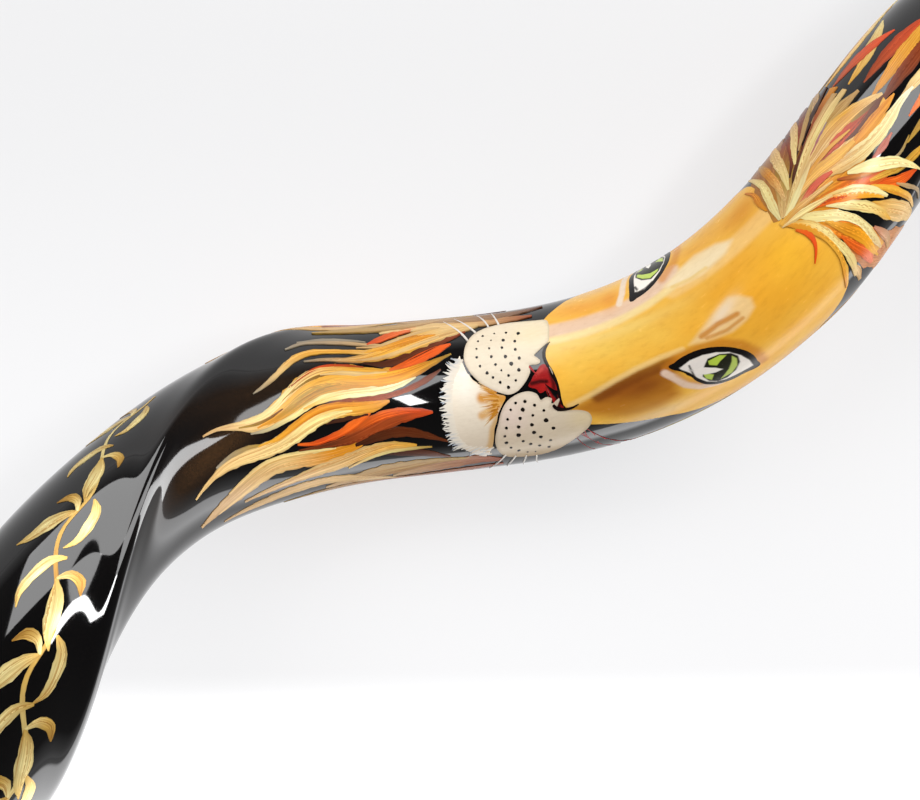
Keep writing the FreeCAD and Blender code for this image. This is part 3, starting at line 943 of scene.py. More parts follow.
@dataclass
class HornBody:
    """The bare horn: outside, lip, cup, bore, hollow and bell rim as one closed wall."""

    form: HornForm
    around: int = 128
    stations: int = 256
    lip_round: float = 1.4
    rim_round: float = 1.1
    outside_rings: int = 128
    grain_radius: float = 26.0

    def rings(self) -> list[Callable[[np.ndarray], np.ndarray]]:
        """Ring makers in order round the wall's section, the outside first.

        Returns:
            Functions from angles to points.
        """
        form = self.form
        winding, inside = form.hollow()
        end = form.length - form.cup_depth - form.bore_length
        curve = np.linspace(0, math.pi / 2, 6)

        def outer(x: float, inset: float) -> Callable[[np.ndarray], np.ndarray]:
            """Ring on the outside, drawn in by the inset."""
            return lambda turn: form.skin(np.full_like(turn, x), turn, np.full_like(turn, -0.02 - inset))

        def round_ring(x: float, radius: float, law: Law) -> Callable[[np.ndarray], np.ndarray]:
            """Round ring about the hollow's own line.

            Args:
                x: Place along the horn.
                radius: Radius of the ring.
                law: Winding that the ring is centred on.

            Returns:
                The ring's function.
            """
            def ring(turn: np.ndarray) -> np.ndarray:
                """Points at the turns.

                Args:
                    turn: Angles round the ring.

                Returns:
                    The points, (n, 3).
                """
                at = np.full_like(turn, x)
                _, outward, across = form.axes(at, law)
                spoke = outward * np.cos(turn)[:, None] + across * np.sin(turn)[:, None]
                return form.laid(form.centre(at, law) + spoke * radius)
            return ring

        def between(first: Callable, second: Callable, share: float) -> Callable[[np.ndarray], np.ndarray]:
            """Ring part of the way from one ring to another."""
            return lambda turn: first(turn) * (1 - share) + second(turn) * share

        straight = Law(((0.0, 0.0), (1.0, 0.0)), form.length)
        lip, rim = self.lip_round, self.rim_round
        outside = [outer(x, rim * (1 - math.sin(a))) for a, x in zip(curve, rim * (1 - np.cos(curve)))]
        outside += [outer(x, 0.0) for x in np.linspace(rim, form.length - lip, 117)[1:]]
        outside += [outer(form.length - lip + lip * math.sin(a), lip * (1 - math.cos(a))) for a in curve[1:]]
        cup_edge = round_ring(form.length, form.cup_radius + 0.9, straight)
        face = [between(outside[-1], cup_edge, share) for share in (0.3, 0.65, 1.0)]
        cup = []
        for a in np.linspace(0, 1, 15)[1:]:
            depth = form.cup_depth * a
            bowl = form.bore_radius + (form.cup_radius - form.bore_radius) * (1 - a) ** 0.8
            cup.append(round_ring(form.length - depth, bowl, straight))
        bore = [round_ring(x, form.bore_radius, straight)
                for x in np.linspace(form.length - form.cup_depth, end, 14)[1:]]
        count = self.stations - len(outside) - len(face) - len(cup) - len(bore) - 8
        places = np.linspace(end, rim, count + 1)[1:]
        hollow = [round_ring(x, float(inside(np.array([x]))[0]) + 0.22 * math.sin(x * 0.21) * smooth(
            0, 300, end - x), winding) for x in places]
        mouth = float(inside(np.array([0.0]))[0])
        inner = [round_ring(rim * (1 - math.sin(a)), mouth + rim * (1 - math.cos(a)) * 0.8, winding)
                 for a in curve[1:]]
        closing = [between(inner[-1], outside[0], share) for share in (0.25, 0.5, 0.75)]
        return outside + face + cup + bore + hollow + inner + closing

    def build(self) -> bpy.types.Object:
        """The wall as a torus whose rings are moved to their places.

        Returns:
            The piece.
        """
        clear_selection()
        bpy.ops.mesh.primitive_torus_add(
            major_segments=self.around, minor_segments=self.stations, major_radius=2.0, minor_radius=1.0)
        piece = bpy.context.object
        piece.name = "horn_body"
        co = corners(piece.data)
        turn = np.arctan2(co[:, 1], co[:, 0])
        station = np.arctan2(co[:, 2], np.hypot(co[:, 0], co[:, 1]) - 2.0) / (2 * np.pi) * self.stations
        station = np.round(station).astype(int) % self.stations
        rings = self.rings()
        points = np.zeros_like(co)
        grain = np.zeros_like(co)
        colours = np.ones_like(co)
        lead = np.radians(self.form.keel_lead(np.zeros(1)))[0]
        for i, ring in enumerate(rings):
            here = station == i
            points[here] = ring(turn[here] + lead)
            grain[here] = np.stack([points[here][:, 0] / MM, turn[here] * self.grain_radius,
                                    0 * turn[here] + 3.0], -1)
        outside = station < self.outside_rings
        warm = smooth(60, 400, (points[:, 0] - points[:, 0].min()) / MM)
        colours *= np.where(outside, 1.35, 0.85)[:, None] * (0.8 + 0.5 * warm)[:, None]
        place_corners(piece.data, points)
        coat_with(piece.data, colours, grain)
        return dressed_shape(piece)


@dataclass
class LacquerSkin:
    """The lacquer as a closed shell over the outside, open at bell and mouth end."""

    form: HornForm
    around: int = 160
    cuts: int = 15
    crowding: float = 0.6          # how closely the lengthwise lines crowd on the ridge

    def build(self) -> bpy.types.Object:
        """A tube cut into rings, moved on to the horn and given its thickness.

        Returns:
            The piece.
        """
        clear_selection()
        bpy.ops.mesh.primitive_cylinder_add(
            vertices=self.around, radius=1.0, depth=1.0, end_fill_type="NOTHING", location=(0, 0, 0.5))
        piece = bpy.context.object
        piece.name = "lacquer_skin"
        bpy.ops.object.transform_apply(location=True)
        for _ in range(2):
            self.cut_rings(piece)
        co = corners(piece.data)
        turn = np.arctan2(co[:, 1], co[:, 0])
        x = np.clip(co[:, 2], 0, 1) * (self.form.length - self.form.bare_tip)
        angle = turn - self.crowding * np.sin(turn) + np.radians(self.form.keel_lead(x))
        points = self.form.skin(x, angle, np.full_like(x, self.form.coat))
        place_corners(piece.data, points)
        degrees = np.degrees((angle - self.form.top(x) + np.pi) % (2 * np.pi) - np.pi)
        coat_with(piece.data, self.tint(x, degrees), np.stack([x, degrees * MM_PER_DEGREE, 0 * x], -1))
        shell = piece.modifiers.new("wall", "SOLIDIFY")
        shell.thickness = self.form.coat * MM
        shell.offset = -1.0
        clear_selection()
        piece.select_set(True)
        bpy.context.view_layer.objects.active = piece
        bpy.ops.object.modifier_apply(modifier=shell.name)
        bpy.ops.object.shade_smooth_by_angle(angle=SHARP_EDGE)
        return piece

    def cut_rings(self, piece: bpy.types.Object) -> None:
        """Cuts every lengthwise edge into equal parts.

        Args:
            piece: The piece.
        """
        bpy.ops.object.mode_set(mode="EDIT")
        bpy.ops.mesh.select_mode(type="EDGE")
        bpy.ops.mesh.select_all(action="DESELECT")
        bpy.ops.object.mode_set(mode="OBJECT")
        height = corners(piece.data)[:, 2]
        for edge in piece.data.edges:
            low, high = edge.vertices
            edge.select = bool(abs(height[low] - height[high]) > 1e-5)
        bpy.ops.object.mode_set(mode="EDIT")
        bpy.ops.mesh.subdivide(number_cuts=self.cuts)
        bpy.ops.mesh.select_mode(type="VERT")
        bpy.ops.object.mode_set(mode="OBJECT")

    def tint(self, x: np.ndarray, degrees: np.ndarray) -> np.ndarray:
        """Black with brown airbrushed beside the ridge where the beard starts.

        Args:
            x: Lengths along the horn.
            degrees: Angles round it from the top line.

        Returns:
            The colours, (n, 3).
        """
        black = np.array([0.0018, 0.0016, 0.0017])
        brown = np.array([0.030, 0.015, 0.006])
        cloud = np.exp(-((x - 301) / 21) ** 2 - ((degrees + 1 + 0.5 * (x - 301)) / 11) ** 2)
        cloud += 0.35 * np.exp(-((x - 325) / 26) ** 2 - ((degrees + 33) / 10) ** 2)
        return black + (brown - black) * np.clip(cloud, 0, 1)[:, None]


# ---------------------------------------------------------------- painted face


def gap_to(x: np.ndarray, degrees: np.ndarray, path: Sequence[Spot]) -> np.ndarray:
    """Distance in mm from places to a path of straight runs.

    Args:
        x: Lengths along the horn.
        degrees: Angles round it from the top line.
        path: Points of the path.

    Returns:
        The distances.
    """
    px, py = x, degrees * MM_PER_DEGREE
    best = np.full(len(x), 1e9)
    spots = [(a, b * MM_PER_DEGREE) for a, b in path]
    for (ax, ay), (bx, by) in zip(spots, spots[1:]):
        dx, dy = bx - ax, by - ay
        share = np.clip(((px - ax) * dx + (py - ay) * dy) / max(dx * dx + dy * dy, 1e-9), 0, 1)
        best = np.minimum(best, np.hypot(px - ax - share * dx, py - ay - share * dy))
    return best


def depth_in(x: np.ndarray, degrees: np.ndarray, outline: Sequence[Spot]) -> np.ndarray:
    """Distance in mm inside a closed outline, negative outside.

    Args:
        x: Lengths along the horn.
        degrees: Angles round it from the top line.
        outline: Points of the outline.

    Returns:
        The distances.
    """
    closed = list(outline) + [outline[0]]
    inside = np.zeros(len(x), bool)
    for (ax, ay), (bx, by) in zip(closed, closed[1:]):
        if ay == by:
            continue
        crossing = (ay > degrees) != (by > degrees)
        inside ^= crossing & (x < (bx - ax) * (degrees - ay) / (by - ay) + ax)
    return np.where(inside, 1.0, -1.0) * gap_to(x, degrees, closed)


class Wash:
    """Paint colours worked wet over a stretch of skin, one brush load after another."""

    def __init__(self, x: np.ndarray, degrees: np.ndarray, ground: Colour) -> None:
        """Starts from an even ground colour.

        Args:
            x: Lengths along the horn.
            degrees: Angles round it from the top line.
            ground: The even colour.
        """
        self.x = x
        self.degrees = degrees
        self.colour = np.repeat(np.array([ground]), len(x), axis=0)

    def blend(self, share: np.ndarray, colour: Colour) -> None:
        """Moves the colour towards a new one by a share at each place."""
        self.colour += (np.array(colour) - self.colour) * np.clip(share, 0, 1)[:, None]

    def cloud(self, middle: Spot, size: Spot, colour: Colour, strength: float = 1.0,
              lean: float = 0.0) -> None:
        """Soft patch: its middle, its half sizes in mm along and degrees round, and how far it leans.

        Args:
            middle: Middle of the patch.
            size: Half sizes of the patch.
            colour: The colour to add.
            strength: How strongly it covers.
            lean: Degrees that it leans for each mm along.
        """
        dx = self.x - middle[0]
        dy = (self.degrees - middle[1]) - lean * dx
        self.blend(strength * np.exp(-(dx / size[0]) ** 2 - (dy / size[1]) ** 2), colour)

    def line(self, path: Sequence[Spot], half: float, soft: float, colour: Colour,
             strength: float = 1.0) -> None:
        """Brush line with soft edges along a path."""
        gap = gap_to(self.x, self.degrees, path)
        self.blend(strength * (1 - smooth(half, half + soft, gap)), colour)

    def fill(self, outline: Sequence[Spot], soft: float, colour: Colour, strength: float = 1.0) -> None:
        """Fills an outline, with an edge that fades over the soft distance."""
        self.blend(strength * smooth(-soft / 2, soft / 2, depth_in(self.x, self.degrees, outline)), colour)


@dataclass
class FaceField:
    """The golden face from the nose to the forelock, one broad film with worked colours."""

    form: HornForm
    rows: int = 190
    columns: int = 200
    thickness: float = 0.10
    low: float = -128.0
    high: float = 84.0
    near: tuple[Spot, ...] = (
        (-128, 482), (-112, 463), (-100, 453), (-90, 446), (-80, 441), (-74, 439), (-68, 436.5), (-62, 434),
        (-57, 432.3), (-50, 432), (-42, 432), (-36, 433.5), (-31, 431.8), (-27, 431), (-22, 431.3),
        (-18, 432), (-13, 433), (-8, 433.8), (-2, 434), (5, 433.5), (10, 433.4), (14, 434.5), (20, 435.5),
        (28, 437), (33, 440), (36, 444), (39, 448), (43, 453), (47, 458), (52, 463), (60, 468), (70, 475),
        (84, 490))
    far: tuple[Spot, ...] = (
        (-128, 497), (-112, 511), (-100, 518), (-85, 524), (-70, 526), (-55, 526), (-40, 524), (-27, 523.5),
        (-20, 524), (-10, 526), (5, 527.5), (20, 527), (35, 525.5), (50, 522), (60, 518), (70, 512),
        (84, 500))

    def build(self, easel: Easel) -> bpy.types.Object:
        """Stretches one slab between the near and far outlines and paints it.

        Args:
            easel: Where marks are made.

        Returns:
            The piece.
        """
        mesh = easel.blanks.slab(self.columns, self.rows).copy()
        unit = corners(mesh)
        degrees = self.low + (unit[:, 1] + 1) / 2 * (self.high - self.low)
        near = np.interp(degrees, *np.array(self.near).T)
        far = np.interp(degrees, *np.array(self.far).T)
        x = near + (unit[:, 0] + 1) / 2 * (far - near)
        points = self.form.paint(x, degrees, np.where(unit[:, 2] > 0.5, self.thickness, FILM_ROOT))
        place_corners(mesh, points)
        brush = np.stack([x * 0.8 + degrees * 0.12, degrees * MM_PER_DEGREE, 0 * x + 1.7], -1)
        coat_with(mesh, self.colours(x, degrees), brush)
        piece = bpy.data.objects.new("face_field", mesh)
        bpy.context.scene.collection.objects.link(piece)
        return dressed_shape(piece)

    def colours(self, x: np.ndarray, degrees: np.ndarray) -> np.ndarray:
        """Worked colours of the face, with painted shade that darkens it towards the far side.

        Args:
            x: Lengths along the horn.
            degrees: Angles round it from the top line.

        Returns:
            The colours, (n, 3).
        """
        wash = Wash(x, degrees, shade(250, 190, 72))
        ripple = np.sin(x * 0.31 + degrees * 0.05) * np.sin(degrees * 0.21 - x * 0.07)
        wash.blend(0.22 * smooth(0.0, 1.0, ripple), shade(253, 208, 96))
        wash.blend(0.22 * smooth(0.0, 1.0, -ripple), shade(246, 172, 48))
        wash.cloud((506, 4), (22, 34), shade(250, 174, 44), 0.75)
        wash.cloud((500, -26), (16, 12), shade(247, 172, 44), 0.6)
        wash.cloud((452, -22), (26, 10), shade(253, 212, 100), 0.55)
        wash.cloud((455, -31), (30, 5), shade(252, 220, 130), 0.6)
        wash.cloud((446, 0), (12, 7), shade(252, 196, 76), 0.5)
        wash.cloud((518, -8), (8, 22), shade(252, 190, 50), 0.6)
        # the cheek below the near eye
        cheek = [(437, 15), (445, 11), (452, 7), (460, 3.5), (470, 3), (478, 5), (473, 11), (470, 22),
                 (469, 33), (462, 37), (452, 33), (444, 27), (438, 21)]
        wash.fill(cheek, 5.0, shade(196, 124, 34), 0.95)
        wash.cloud((461, 14), (9, 9), shade(140, 74, 22), 0.9)
        wash.cloud((452, 12), (8, 6), shade(160, 88, 26), 0.8)
        wash.line([(446, 12), (454, 8), (462, 5), (472, 5)], 0.8, 2.4, shade(128, 66, 20), 0.8)
        wash.cloud((456, 31), (8, 5), shade(204, 140, 52), 0.8)
        wash.cloud((459, 43), (10, 7), shade(222, 180, 104), 0.7)
        wash.line([(436, 14), (445, 8.5), (453, 3.5), (461, 0), (470, -1.5), (477, 0)], 0.3, 1.1,
                  shade(252, 214, 140), 0.75)
        # round the near eye
        wash.line([(470, 8), (474, 4.5), (481, 5), (487, 10), (491, 20), (492.5, 34), (492, 48)], 0.6, 2.2,
                  shade(206, 126, 34), 0.75)
        wash.line([(468.7, 11), (470.5, 18), (472, 27), (475, 35), (480, 41)], 0.9, 0.8,
                  shade(238, 208, 184), 0.95)
        wash.line([(471.5, 16), (473.2, 24), (476, 33)], 0.3, 0.9, shade(214, 150, 80), 0.6)
        # brow marks above the near eye
        wash.fill([(479.5, -0.5), (486, 4.5), (492, 8), (497, 7), (501, 3), (502, -4), (500, -11),
                   (497, -15), (491, -11), (485, -6)], 2.0, shade(248, 212, 152), 0.85)
        wash.cloud((493, -8), (5, 4.5), shade(246, 224, 196), 0.8, -0.7)
        wash.line([(484, -1.5), (490, -3), (496, -1)], 0.4, 1.0, shade(214, 142, 62), 0.9)
        wash.line([(485, 1.5), (491, 4.5), (496.5, 4)], 0.25, 0.8, shade(216, 146, 66), 0.8)
        # the bridge between the eyes, and the second brow mark
        wash.line([(432, -45), (445, -45), (458, -46), (468, -48), (478, -52), (486, -60)], 2.0, 2.0,
                  shade(238, 204, 176), 0.95)
        wash.line([(484, -44), (500, -43), (515, -43), (524, -43)], 2.2, 2.4, shade(252, 206, 130), 0.8)
        wash.line([(434, -36.5), (448, -37), (462, -39), (474, -42), (484, -46)], 0.5, 1.8,
                  shade(252, 226, 160), 0.9)
        wash.fill([(481, -49), (487, -43), (495, -41), (505, -43), (509, -48), (504, -56), (496, -61),
                   (489, -57)], 2.6, shade(252, 232, 190), 0.9)
        wash.line([(484, -46), (491, -43.5), (497, -43.5)], 0.25, 0.8, shade(246, 206, 120), 0.7)
        # the far cheek and temple
        wash.cloud((448, -62), (13, 9), shade(240, 164, 58), 0.85)
        wash.cloud((460, -61), (4, 10), shade(238, 156, 52), 0.8)
        wash.cloud((450, -82), (14, 9), shade(238, 190, 112), 0.7)
        wash.cloud((517, -62), (9, 12), shade(222, 146, 38), 0.85)
        wash.cloud((500, -66), (10, 8), shade(240, 172, 66), 0.7)
        wash.line([(482, -58), (488, -68), (490.5, -80), (490, -95)], 0.6, 2.4, shade(222, 142, 48), 0.7)
        wash.line([(463.5, -53), (465.3, -62), (466, -72), (466.6, -84), (467, -94)], 0.9, 0.8,
                  shade(244, 222, 196), 0.95)
        # both sides turn ochre as they leave the top
        wash.blend(0.6 * smooth(58, 78, degrees), shade(206, 136, 44))
        wash.blend(0.6 * smooth(-98, -120, degrees), shade(206, 136, 44))
        # painted shade: the whole face is darkened towards the far side
        return np.clip(wash.colour * (1 - 0.14 * smooth(-5, -30, degrees))[:, None], 0, BRIGHTEST)


@dataclass
class Muzzle:
    """Chin, two cream muzzle pads, the red nose, the dots and the whiskers."""

    pad_low: tuple[Spot, ...] = (
        (441.8, 27), (440.6, 33), (437, 40), (432, 48), (428, 54), (424, 57.5), (420, 58.5), (416, 57.5),
        (412, 54.5), (410, 50), (408.6, 43), (408.2, 36), (408.8, 28), (410.2, 19), (411.7, 11), (413.7, 5),
        (416.2, 1.2), (419, -1), (421.5, -1.8), (424, -1), (426, 1.8), (426.8, 6), (428.4, 4.6), (430, 5.2),
        (430.6, 8), (430.1, 10.8), (429.4, 12), (431.4, 14.6), (434.5, 17), (438.5, 18.6), (441, 21.5))
    pad_high: tuple[Spot, ...] = (
        (415.6, -1.2), (412, -3.5), (408, -8), (404.2, -14), (401.3, -22), (400, -30), (400.5, -38),
        (402.2, -46), (405, -53), (409, -58), (413.5, -60.7), (419, -61.5), (425, -60.3), (430, -58.8),
        (433.4, -57.6), (434.6, -50), (434.2, -42), (433.6, -36.5), (431.2, -33), (428.6, -29.5),
        (427.5, -26.5), (429, -24), (429.3, -21.8), (427.9, -20.2), (425.4, -20.6), (424.8, -15.5),
        (423, -10), (421, -6), (418.8, -2.8))
    chin: tuple[Spot, ...] = (
        (402.5, 48.5), (399.5, 44), (396, 37), (393.4, 29), (392.2, 20), (391.4, 10), (391.2, 0),
        (391.8, -9),
        (393, -17), (395, -24), (397.5, -31.5), (399, -32), (399.6, -26), (401.2, -19), (404, -12.2),
        (407.6, -6.4), (411.6, -2.2), (414.2, 0.3), (413, 4.2), (411.2, 9.6), (409.7, 17.5), (408.2, 27),
        (407.5, 36), (406.6, 43), (405, 47.5))
    dots: tuple[Mark, ...] = (
        (415.75, 47.5, .55), (418.4, 51, .35), (420.9, 52.2, .3), (425.5, 48.5, .5), (422.75, 45, .55),
        (413.3, 43, .5), (420, 41.8, .6), (426.6, 41, .5), (412, 37.2, .65), (417.75, 37.7, .55),
        (423.85, 36, .65), (416.6, 31.3, .8), (411.8, 30.8, .5), (422, 30.8, .7), (428.7, 29.7, .65),
        (412.75, 23.8, .55), (417.1, 24.2, .65), (421.85, 23.9, .65), (426.95, 22, .8), (413.65, 17, .5),
        (418.15, 17.4, .65), (422.85, 16.4, .5), (427, 14, .5), (415.3, 10, .45), (419.65, 11.1, .75),
        (424.15, 8.9, .55), (417.5, 5.4, .5), (421, 5.2, .6), (415.75, -6.5, .6), (412.85, -10.8, .55),
        (418.85, -10.8, .45), (410.35, -15, .5), (416.4, -15, .5), (408.25, -18.6, .6), (413.9, -19.3, .4),
        (420.65, -18, .65), (405.85, -24.4, .5), (411.9, -24.3, .5), (418.05, -23.4, .75),
        (421.45, -26.8, .6),
        (405, -31.5, .5), (410.65, -30.7, .55), (416.2, -29.4, .65), (420.35, -34, .55), (405.35, -38.6, .4),
        (410.3, -37.8, .45), (415.25, -37, .55), (420.55, -41, .55), (406.3, -45.3, .4), (411.35, -44.7, .3),
        (416.1, -43.4, .65), (422.25, -47.8, .7), (408.35, -49.8, .45), (412.9, -51, .35),
        (417.5, -50.3, .5))
    whiskers: tuple[tuple[Mark, ...], ...] = (
        ((411.2, 51, .26), (408.9, 60, .24), (406.8, 69, .18), (405.5, 76, .1)),
        ((414.4, 54, .28), (412.9, 62, .24), (411.6, 70, .2), (411, 78, .1)),
        ((417.7, 56, .26), (416.9, 64, .24), (416.2, 72, .18), (416, 80, .1)),
        ((421, 58, .26), (420.5, 66, .24), (420.2, 74, .18), (420.3, 82, .1)),
        ((402.4, -47, .42), (400.2, -56, .4), (397.6, -65, .3), (395, -75, .12)),
        ((405.9, -54, .42), (403.6, -62, .38), (401.4, -70, .28), (399, -79, .12)),
        ((411, -59, .4), (410, -66, .36), (408.6, -74, .28), (407, -83, .12)),
        ((415, -60, .4), (414.2, -67, .36), (413.2, -76, .28), (412.4, -84, .12)))

    def pad_colour(self, x: np.ndarray, degrees: np.ndarray) -> np.ndarray:
        """Cream that is warmer on the low side and yellow towards the face, with painted shade that darkens
        it towards the far side.

        Args:
            x: Lengths along the horn.
            degrees: Angles round it from the top line.

        Returns:
            The colours, (n, 3).
        """
        wash = Wash(x, degrees, shade(238, 226, 206))
        wash.blend(smooth(-20, 40, degrees) * 0.85, shade(226, 206, 176))
        wash.cloud((415, 15), (7, 14), shade(240, 216, 204), 0.7)
        wash.blend(smooth(40, 58, degrees), shade(196, 168, 128))
        wash.cloud((428, -46), (9, 14), shade(250, 236, 200), 0.7)
        wash.cloud((439, 26), (5, 9), shade(234, 212, 168), 0.8)
        rim = np.maximum(depth_in(x, degrees, self.pad_low), depth_in(x, degrees, self.pad_high))
        wash.blend((1 - smooth(0.0, 0.9, rim)) * 0.35, shade(150, 120, 90))
        # painted shade: the pads are darkened, blue most, towards the far side
        return wash.colour * (1 - np.array([0.16, 0.19, 0.25]) * smooth(0, -25, degrees)[:, None])

    def chin_colour(self, x: np.ndarray, degrees: np.ndarray) -> np.ndarray:
        """Cream with ochre shadows beside the pads and a cold white left edge.

        Args:
            x: Lengths along the horn.
            degrees: Angles round it from the top line.

        Returns:
            The colours, (n, 3).
        """
        wash = Wash(x, degrees, shade(244, 230, 208))
        wash.blend(smooth(10, 44, degrees) * 0.7, shade(222, 202, 176))
        wash.cloud((399, -10), (5, 12), shade(252, 244, 230), 0.7)
        wash.line([(414, 1), (410, 1), (405, -1)], 0.6, 2.4, shade(214, 146, 52), 0.95)
        wash.line([(413, 4), (408, 9), (404.5, 12)], 0.5, 2.0, shade(222, 160, 70), 0.8)
        wash.line([(410.5, 14), (408, 24), (407, 36), (406, 42)], 0.5, 1.8, shade(214, 166, 96), 0.85)
        wash.line([(412, -3), (407.5, -9), (403, -16)], 0.2, 1.6, shade(226, 176, 104), 0.7)
        wash.line([(392, 20), (391.4, 5), (392, -10), (395, -24)], 0.3, 2.2, shade(236, 238, 242), 0.8)
        return wash.colour

    def tufts(self) -> list[tuple[Stroke, float]]:
        """Short pale hairs that feather the chin's edge over the black.

        Returns:
            The hairs with their lifts.
        """
        rng = np.random.default_rng(7)
        left = np.array([spot for spot in self.chin if spot[0] < 399.6 and spot[1] > -33 or spot[1] > 40])
        left = left[np.argsort(left[:, 1])]
        hairs = []
        for degrees in np.linspace(-31, 50, 74):
            x = float(np.interp(degrees, left[:, 1], left[:, 0])) + 0.7
            reach = 2.2 + 1.6 * rng.random()
            lean = (degrees - 8) * 0.045 + rng.normal(0, 1.6)
            pale = shade(232, 226, 216) if rng.random() < 0.6 else shade(176, 186, 200)
            hair = [(x + 1.6, degrees - lean * 0.4, .34), (x - reach * 0.45, degrees + lean * 0.5, .34),
                    (x - reach, degrees + lean * 1.4, .08)]
            hairs.append((Stroke(hair, (shade(244, 232, 212), pale), edge=0.0, crown=0.01), 0.13))
        return hairs

    def fur_lines(self) -> list[tuple[Stroke, float]]:
        """Ochre hairs that run from between the pads into the chin.

        Returns:
            The hairs with their lifts.
        """
        rng = np.random.default_rng(11)
        hairs = []
        for _ in range(46):
            turn = rng.uniform(-1, 1)
            start = (412.4 - 2.2 * abs(turn) - 1.5 * rng.random(), 2.5 + 11 * turn)
            reach = 3.0 + 4.5 * rng.random() * (1 - 0.4 * abs(turn))
            tip = (start[0] - reach, start[1] + turn * 7 + rng.normal(0, 1.6))
            middle = ((start[0] + tip[0]) / 2, (start[1] + tip[1]) / 2 + rng.normal(0, 0.4))
            tone = (shade(206, 138, 46), shade(228, 172, 92), shade(186, 118, 40))[rng.integers(3)]
            hair = [(*start, .3), (*middle, .26), (*tip, .06)]
            hairs.append((Stroke(hair, (tone, tone, shade(236, 206, 160)), edge=0.0, crown=0.01), 0.155))
        return hairs

    def nose_marks(self) -> list[tuple[Stroke | Blot, float]]:
        """Red nose with dark creases, the black outline and the hook of the nostril.

        Returns:
            The marks with their lifts.
        """
        black = shade(24, 12, 10)
        shape = [(423.2, -5.5), (425.5, -3), (427, 0.8), (429.5, 0.6), (431.8, 3.4), (433, 8), (433.2, 2),
                 (433, -6), (432, -13), (431.2, -19), (429.2, -19.2), (427.4, -15.5), (425.6, -12),
                 (424.4, -8.6)]

        def red(x: np.ndarray, degrees: np.ndarray) -> np.ndarray:
            """Reds of the nose, dark towards the nostrils.

            Args:
                x: Lengths along the horn.
                degrees: Angles round it from the top line.

            Returns:
                The colours, (n, 3).
            """
            wash = Wash(x, degrees, shade(158, 26, 26))
            wash.cloud((429.5, -3), (2.2, 3.4), shade(186, 34, 32), 0.8)
            wash.line([(424.5, -7), (428, -7.6), (430.2, -6.8)], 0.25, 0.8, shade(58, 8, 8), 0.95)
            wash.line([(431.6, 4), (432.6, -4), (432.2, -14)], 0.2, 1.0, shade(70, 12, 10), 0.9)
            wash.line([(427, -13), (429.5, -16)], 0.2, 0.7, shade(206, 70, 60), 0.6)
            return wash.colour

        nostril = [(430.3, 12, .5), (432, 13, .9), (433, 8, .5), (433, 4, .3)]
        hook = [(439.2, 14, .15), (436.8, 15.8, .4), (434, 15.9, .6), (431.4, 14, .7), (430.6, 11, .6)]
        rim = [(433.9, 12.5, .25), (433.6, 6, .5), (433.8, -1, .55), (433.5, -8, .6), (432.6, -14, .65),
               (431.5, -20, .7), (431, -26, .7), (431.8, -31, .6), (434.2, -36, .12)]
        gleam = [(433, -11, .1), (432.8, -14, .22), (432.3, -17, .1)]
        return [(Stroke(nostril, (shade(70, 14, 12),), edge=0.1), 0.15),
                (Blot(shape, (429.3, -6), red, 56, 10), 0.18),
                (Stroke(hook, (black,), edge=0.0), 0.33), (Stroke(rim, (black,), edge=0.0), 0.2),
                (Stroke(gleam, (shade(190, 176, 160),), edge=0), 0.26)]

    def build(self, easel: Easel) -> list[tuple[bpy.types.Object, Slot, tuple[str, ...]]]:
        """All the muzzle's pieces, each with its slot and the CAD nodes it stands for.

        Args:
            easel: Where marks are made.

        Returns:
            The pieces with slots and nodes.
        """
        chin = Blot(self.chin, (400.5, 10), self.chin_colour, 128, 18, 0.04)
        pads = [(Blot(self.pad_low, (421, 29), self.pad_colour, 160, 22, 0.12), 0.22),
                (Blot(self.pad_high, (415.5, -33), self.pad_colour, 160, 22, 0.12), 0.22)]
        specks = [(Blot([(x + r * 1.05 * math.cos(a), d + r * (1 + 0.12 * math.sin(3 * a + x)) * math.sin(a)
                         / MM_PER_DEGREE) for a in np.linspace(0, 5.6, 9)], (x, d),
                        plain(shade(30, 22, 16)), 18, 2, 0.05), 0.36) for x, d, r in self.dots]
        hairs = [(Stroke(hair, (shade(248, 240, 228), shade(236, 232, 226)), edge=0.05, crown=0.03), 0.46)
                 for hair in self.whiskers]
        return [
            (easel.piece("chin", [(chin, 0.11)] + self.tufts() + self.fur_lines()), Slot.CREAM_PAINT,
             ("chin_paint",)),
            (easel.piece("muzzle_pads", pads), Slot.CREAM_PAINT, ("muzzle_paint",)),
            (easel.piece("nose", self.nose_marks()), Slot.NOSE_RED, ("nose_paint",)),
            (easel.piece("muzzle_dots", specks), Slot.EYE_PAINT, ()),
            (easel.piece("whiskers", hairs), Slot.WHITE_PAINT, ("whisker_paint",)),
        ]


